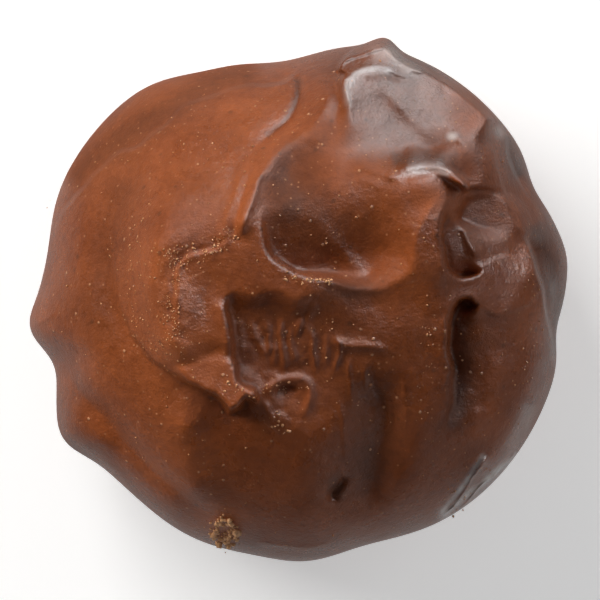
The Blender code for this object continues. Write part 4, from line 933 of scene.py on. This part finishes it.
# line, scatter (mm), number, radius (mm), paleness
CRUMB_LINES = [
    ([(-8.3, 3.2), (-8.6, 0.6), (-8.4, -1.4), (-7.7, -3.2)], 0.45, 170, 0.048, 0.75),
    ([(-9.6, 3.2), (-7.6, 2.9), (-6.0, 3.3), (-5.2, 4.0), (-4.4, 4.7)], 0.38, 150, 0.055, 0.75),
    ([(-1.1, 1.7), (0.2, 1.35), (1.2, 1.45), (2.2, 1.3)], 0.12, 60, 0.065, 0.8),
    ([(-4.2, -1.6), (-1.6, -2.6), (0.6, -1.8), (2.2, -3.0)], 0.90, 90, 0.045, 0.65),
    ([(-5.0, -5.6), (-3.8, -6.0), (-1.6, -5.8), (0.4, -5.8)], 0.25, 50, 0.065, 0.75),
    ([(-1.7, -7.6), (-1.3, -8.4), (-0.8, -8.8)], 0.22, 18, 0.09, 0.6),
    ([(-5.7, -14.9), (-5.0, -14.7), (-4.4, -15.2), (-4.5, -15.9), (-5.2, -16.0), (-5.7, -15.5), (-5.7, -14.9)], 0.20, 90, 0.19, 1.0),
    ([(-5.6, -15.0), (-4.6, -15.2), (-5.0, -16.0)], 0.45, 60, 0.07, 0.8),
    ([(12.6, -10.2), (11.4, -12.0), (10.0, -13.8)], 0.45, 34, 0.06, 0.6),
    ([(15.4, 2.0), (15.6, -2.0), (15.0, -6.0), (14.0, -8.6)], 0.40, 50, 0.055, 0.6),
    ([(8.6, 0.0), (8.7, -4.0), (8.2, -8.0)], 0.40, 34, 0.05, 0.5),
    ([(-15.6, 6.2), (-12.4, 9.4), (-9.0, 11.6), (-5.0, 14.0)], 0.60, 40, 0.05, 0.5),
    ([(-10.8, 6.0), (-11.2, 1.0), (-10.2, -2.4), (-7.0, -4.8)], 0.60, 170, 0.045, 0.7),
    ([(-9.4, 9.8), (-5.4, 9.6), (-2.0, 9.0)], 0.80, 40, 0.05, 0.5),
]

bits, bit_faces, bit_pale = crumbs_mesh()
bits = (bits - np.array([middle[0], middle[1], base])) * np.minimum(room, 1.0)
bits = np.clip(bits, low, high)
crumbs = make_mesh("crumbs", bits * MM, np.zeros((0, 4), int), bit_faces)
crumbs.data.attributes.new("pale", "FLOAT", "POINT").data.foreach_set("value", bit_pale.astype(np.float32))
crumbs.data.materials.append(chocolate("milk_chocolate_crumb", False))
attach(crumbs, "root")

# ---------------------------------------------------------------- floor, light, camera
floor_mesh = bpy.data.meshes.new("floor")
s = 1.2
floor_mesh.from_pydata([(-s, -s, 0), (s, -s, 0), (s, s, 0), (-s, s, 0)], [], [(0, 1, 2, 3)])
floor = bpy.data.objects.new("floor", floor_mesh)
floor.location.z = CAD_BOX[0][2] - 0.00002
bpy.context.scene.collection.objects.link(floor)
paper = bpy.data.materials.new("floor_white")
paper.use_nodes = True
pn, pl = paper.node_tree.nodes, paper.node_tree.links
fp = pn["Principled BSDF"]
fp.inputs["Base Color"].default_value = (0.92, 0.92, 0.92, 1)
fp.inputs["Roughness"].default_value = 0.9
fp.inputs["Emission Color"].default_value = (1, 1, 1, 1)
fp.inputs["Emission Strength"].default_value = 0.42
# the floor is evenly white to the camera and grey to bounce light; to reflections it glows, strongest near the truffle:
# painted light standing in for lit floor mirrored in the gloss
dull = pn.new("ShaderNodeBsdfDiffuse")
dull.inputs["Color"].default_value = (0.20, 0.20, 0.20, 1)
path = pn.new("ShaderNodeLightPath")
shine = pn.new("ShaderNodeEmission")
place = pn.new("ShaderNodeNewGeometry")
reach = pn.new("ShaderNodeVectorMath")
reach.operation = "LENGTH"
pl.new(place.outputs["Position"], reach.inputs[0])
glow = pn.new("ShaderNodeMapRange")
for key, value in (("From Min", 0.030), ("From Max", 0.075), ("To Min", 0.36), ("To Max", 0.06)):
    glow.inputs[key].default_value = value
pl.new(reach.outputs["Value"], glow.inputs["Value"])
pl.new(glow.outputs["Result"], shine.inputs["Strength"])
seen = pn.new("ShaderNodeMixShader")
pl.new(path.outputs["Is Glossy Ray"], seen.inputs["Fac"])
pl.new(dull.outputs["BSDF"], seen.inputs[1])
pl.new(shine.outputs["Emission"], seen.inputs[2])
both = pn.new("ShaderNodeMixShader")
pl.new(path.outputs["Is Camera Ray"], both.inputs["Fac"])
pl.new(seen.outputs["Shader"], both.inputs[1])
pl.new(fp.outputs["BSDF"], both.inputs[2])
pl.new(both.outputs["Shader"], pn["Material Output"].inputs["Surface"])
floor_mesh.materials.append(paper)
floor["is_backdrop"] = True


def aim(obj, target):
    from mathutils import Vector
    d = Vector(target) - obj.location
    obj.rotation_euler = d.to_track_quat("-Z", "Y").to_euler()


def area(name, azimuth, elevation, distance, width, height, watts, colour):
    light = bpy.data.lights.new(name, "AREA")
    light.shape = "RECTANGLE"
    light.size, light.size_y = width, height
    light.energy = watts
    light.color = colour
    obj = bpy.data.objects.new(name, light)
    a, e = math.radians(azimuth), math.radians(elevation)
    obj.location = (distance * math.cos(a) * math.cos(e), distance * math.sin(a) * math.cos(e), distance * math.sin(e) + 0.01)
    bpy.context.scene.collection.objects.link(obj)
    aim(obj, (0, 0, 0.012))
    obj.visible_camera = False
    return obj


def glint(*args):
    """A light that only shows as a reflection in the gloss."""
    obj = area(*args)
    obj.visible_diffuse = False
    return obj


key = area("key", 135, 31, 0.60, 0.56, 0.34, 4.40, (1.0, 0.985, 0.96))
key.visible_glossy = False
glint("box_north", 48, 33, 0.60, 0.36, 0.26, 4.40, (0.92, 0.97, 1.0))
glint("box_top", 84, 33, 0.60, 0.26, 0.16, 2.20, (0.92, 0.97, 1.0))
glint("box_low_north", 62, 9, 0.60, 0.34, 0.12, 0.90, (0.92, 0.97, 1.0))
glint("card_north_east", 58, 3, 0.046, 0.034, 0.020, 0.008, (0.92, 0.97, 1.0))
glint("box_side", 12, 33, 0.60, 0.16, 0.16, 0.45, (0.80, 0.90, 1.0))
glint("box_east", -4, 9, 0.60, 0.24, 0.06, 0.03, (0.90, 0.95, 1.0))
glint("box_south_east", -48, 5, 0.60, 0.40, 0.05, 0.20, (0.92, 0.97, 1.0))
glint("overhead", 100, 86, 0.60, 0.30, 0.30, 0.22, (0.96, 0.98, 1.0))
area("fill", 100, 86, 0.60, 0.30, 0.30, 0.10, (0.96, 0.98, 1.0))
east = area("fill_east", 25, 28, 0.60, 0.40, 0.30, 0.50, (1.0, 0.99, 0.98))
east.visible_glossy = False

world = bpy.data.worlds.new("studio")
bpy.context.scene.world = world
world.use_nodes = True
wn, wl = world.node_tree.nodes, world.node_tree.links
coord = wn.new("ShaderNodeTexCoord")
sep = wn.new("ShaderNodeSeparateXYZ")
wl.new(coord.outputs["Generated"], sep.inputs["Vector"])


def sky(stops):
    """Grey of the room against height, from level (0) to overhead (1)."""
    r = wn.new("ShaderNodeValToRGB")
    first, last = stops[0], stops[-1]
    r.color_ramp.elements[0].position, r.color_ramp.elements[0].color = first[0], (first[1],) * 3 + (1,)
    r.color_ramp.elements[1].position, r.color_ramp.elements[1].color = last[0], (last[1],) * 3 + (1,)
    for at, grey in stops[1:-1]:
        e = r.color_ramp.elements.new(at)
        e.color = (grey, grey, grey * 1.03, 1)
    wl.new(sep.outputs["Z"], r.inputs["Fac"])
    return r.outputs["Color"]


soft = sky([(0.0, 1.40), (0.10, 1.05), (0.26, 0.12), (1.0, 0.03)])       # what lights the matt surface
gloss = sky([(0.0, 0.05), (0.12, 0.03), (0.30, 0.01), (1.0, 0.005)])      # what the gloss mirrors
path = wn.new("ShaderNodeLightPath")
m1 = wn.new("ShaderNodeMix"); m1.data_type = "RGBA"
wl.new(path.outputs["Is Glossy Ray"], m1.inputs["Factor"])
wl.new(soft, m1.inputs["A"]); wl.new(gloss, m1.inputs["B"])
m2 = wn.new("ShaderNodeMix"); m2.data_type = "RGBA"
wl.new(path.outputs["Is Camera Ray"], m2.inputs["Factor"])
wl.new(m1.outputs["Result"], m2.inputs["A"])
m2.inputs["B"].default_value = (0.90, 0.90, 0.91, 1)
wl.new(m2.outputs["Result"], wn["Background"].inputs["Color"])
wn["Background"].inputs["Strength"].default_value = 1.0

cam_data = bpy.data.cameras.new("camera")
cam = bpy.data.objects.new("camera", cam_data)
cam_data.sensor_width = 36.0
cam_data.lens = 400.0
cam_data.clip_start, cam_data.clip_end = 0.01, 10.0
cam.location = ((0.03 - middle[0]) * MM, (0.07 - middle[1]) * MM, (WAIST + 444.4) * MM)
cam.rotation_euler = (0, 0, 0)
bpy.context.scene.collection.objects.link(cam)
bpy.context.scene.camera = cam
bpy.context.scene.view_settings.view_transform = "Standard"
bpy.context.scene.view_settings.look = "None"

low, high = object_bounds()
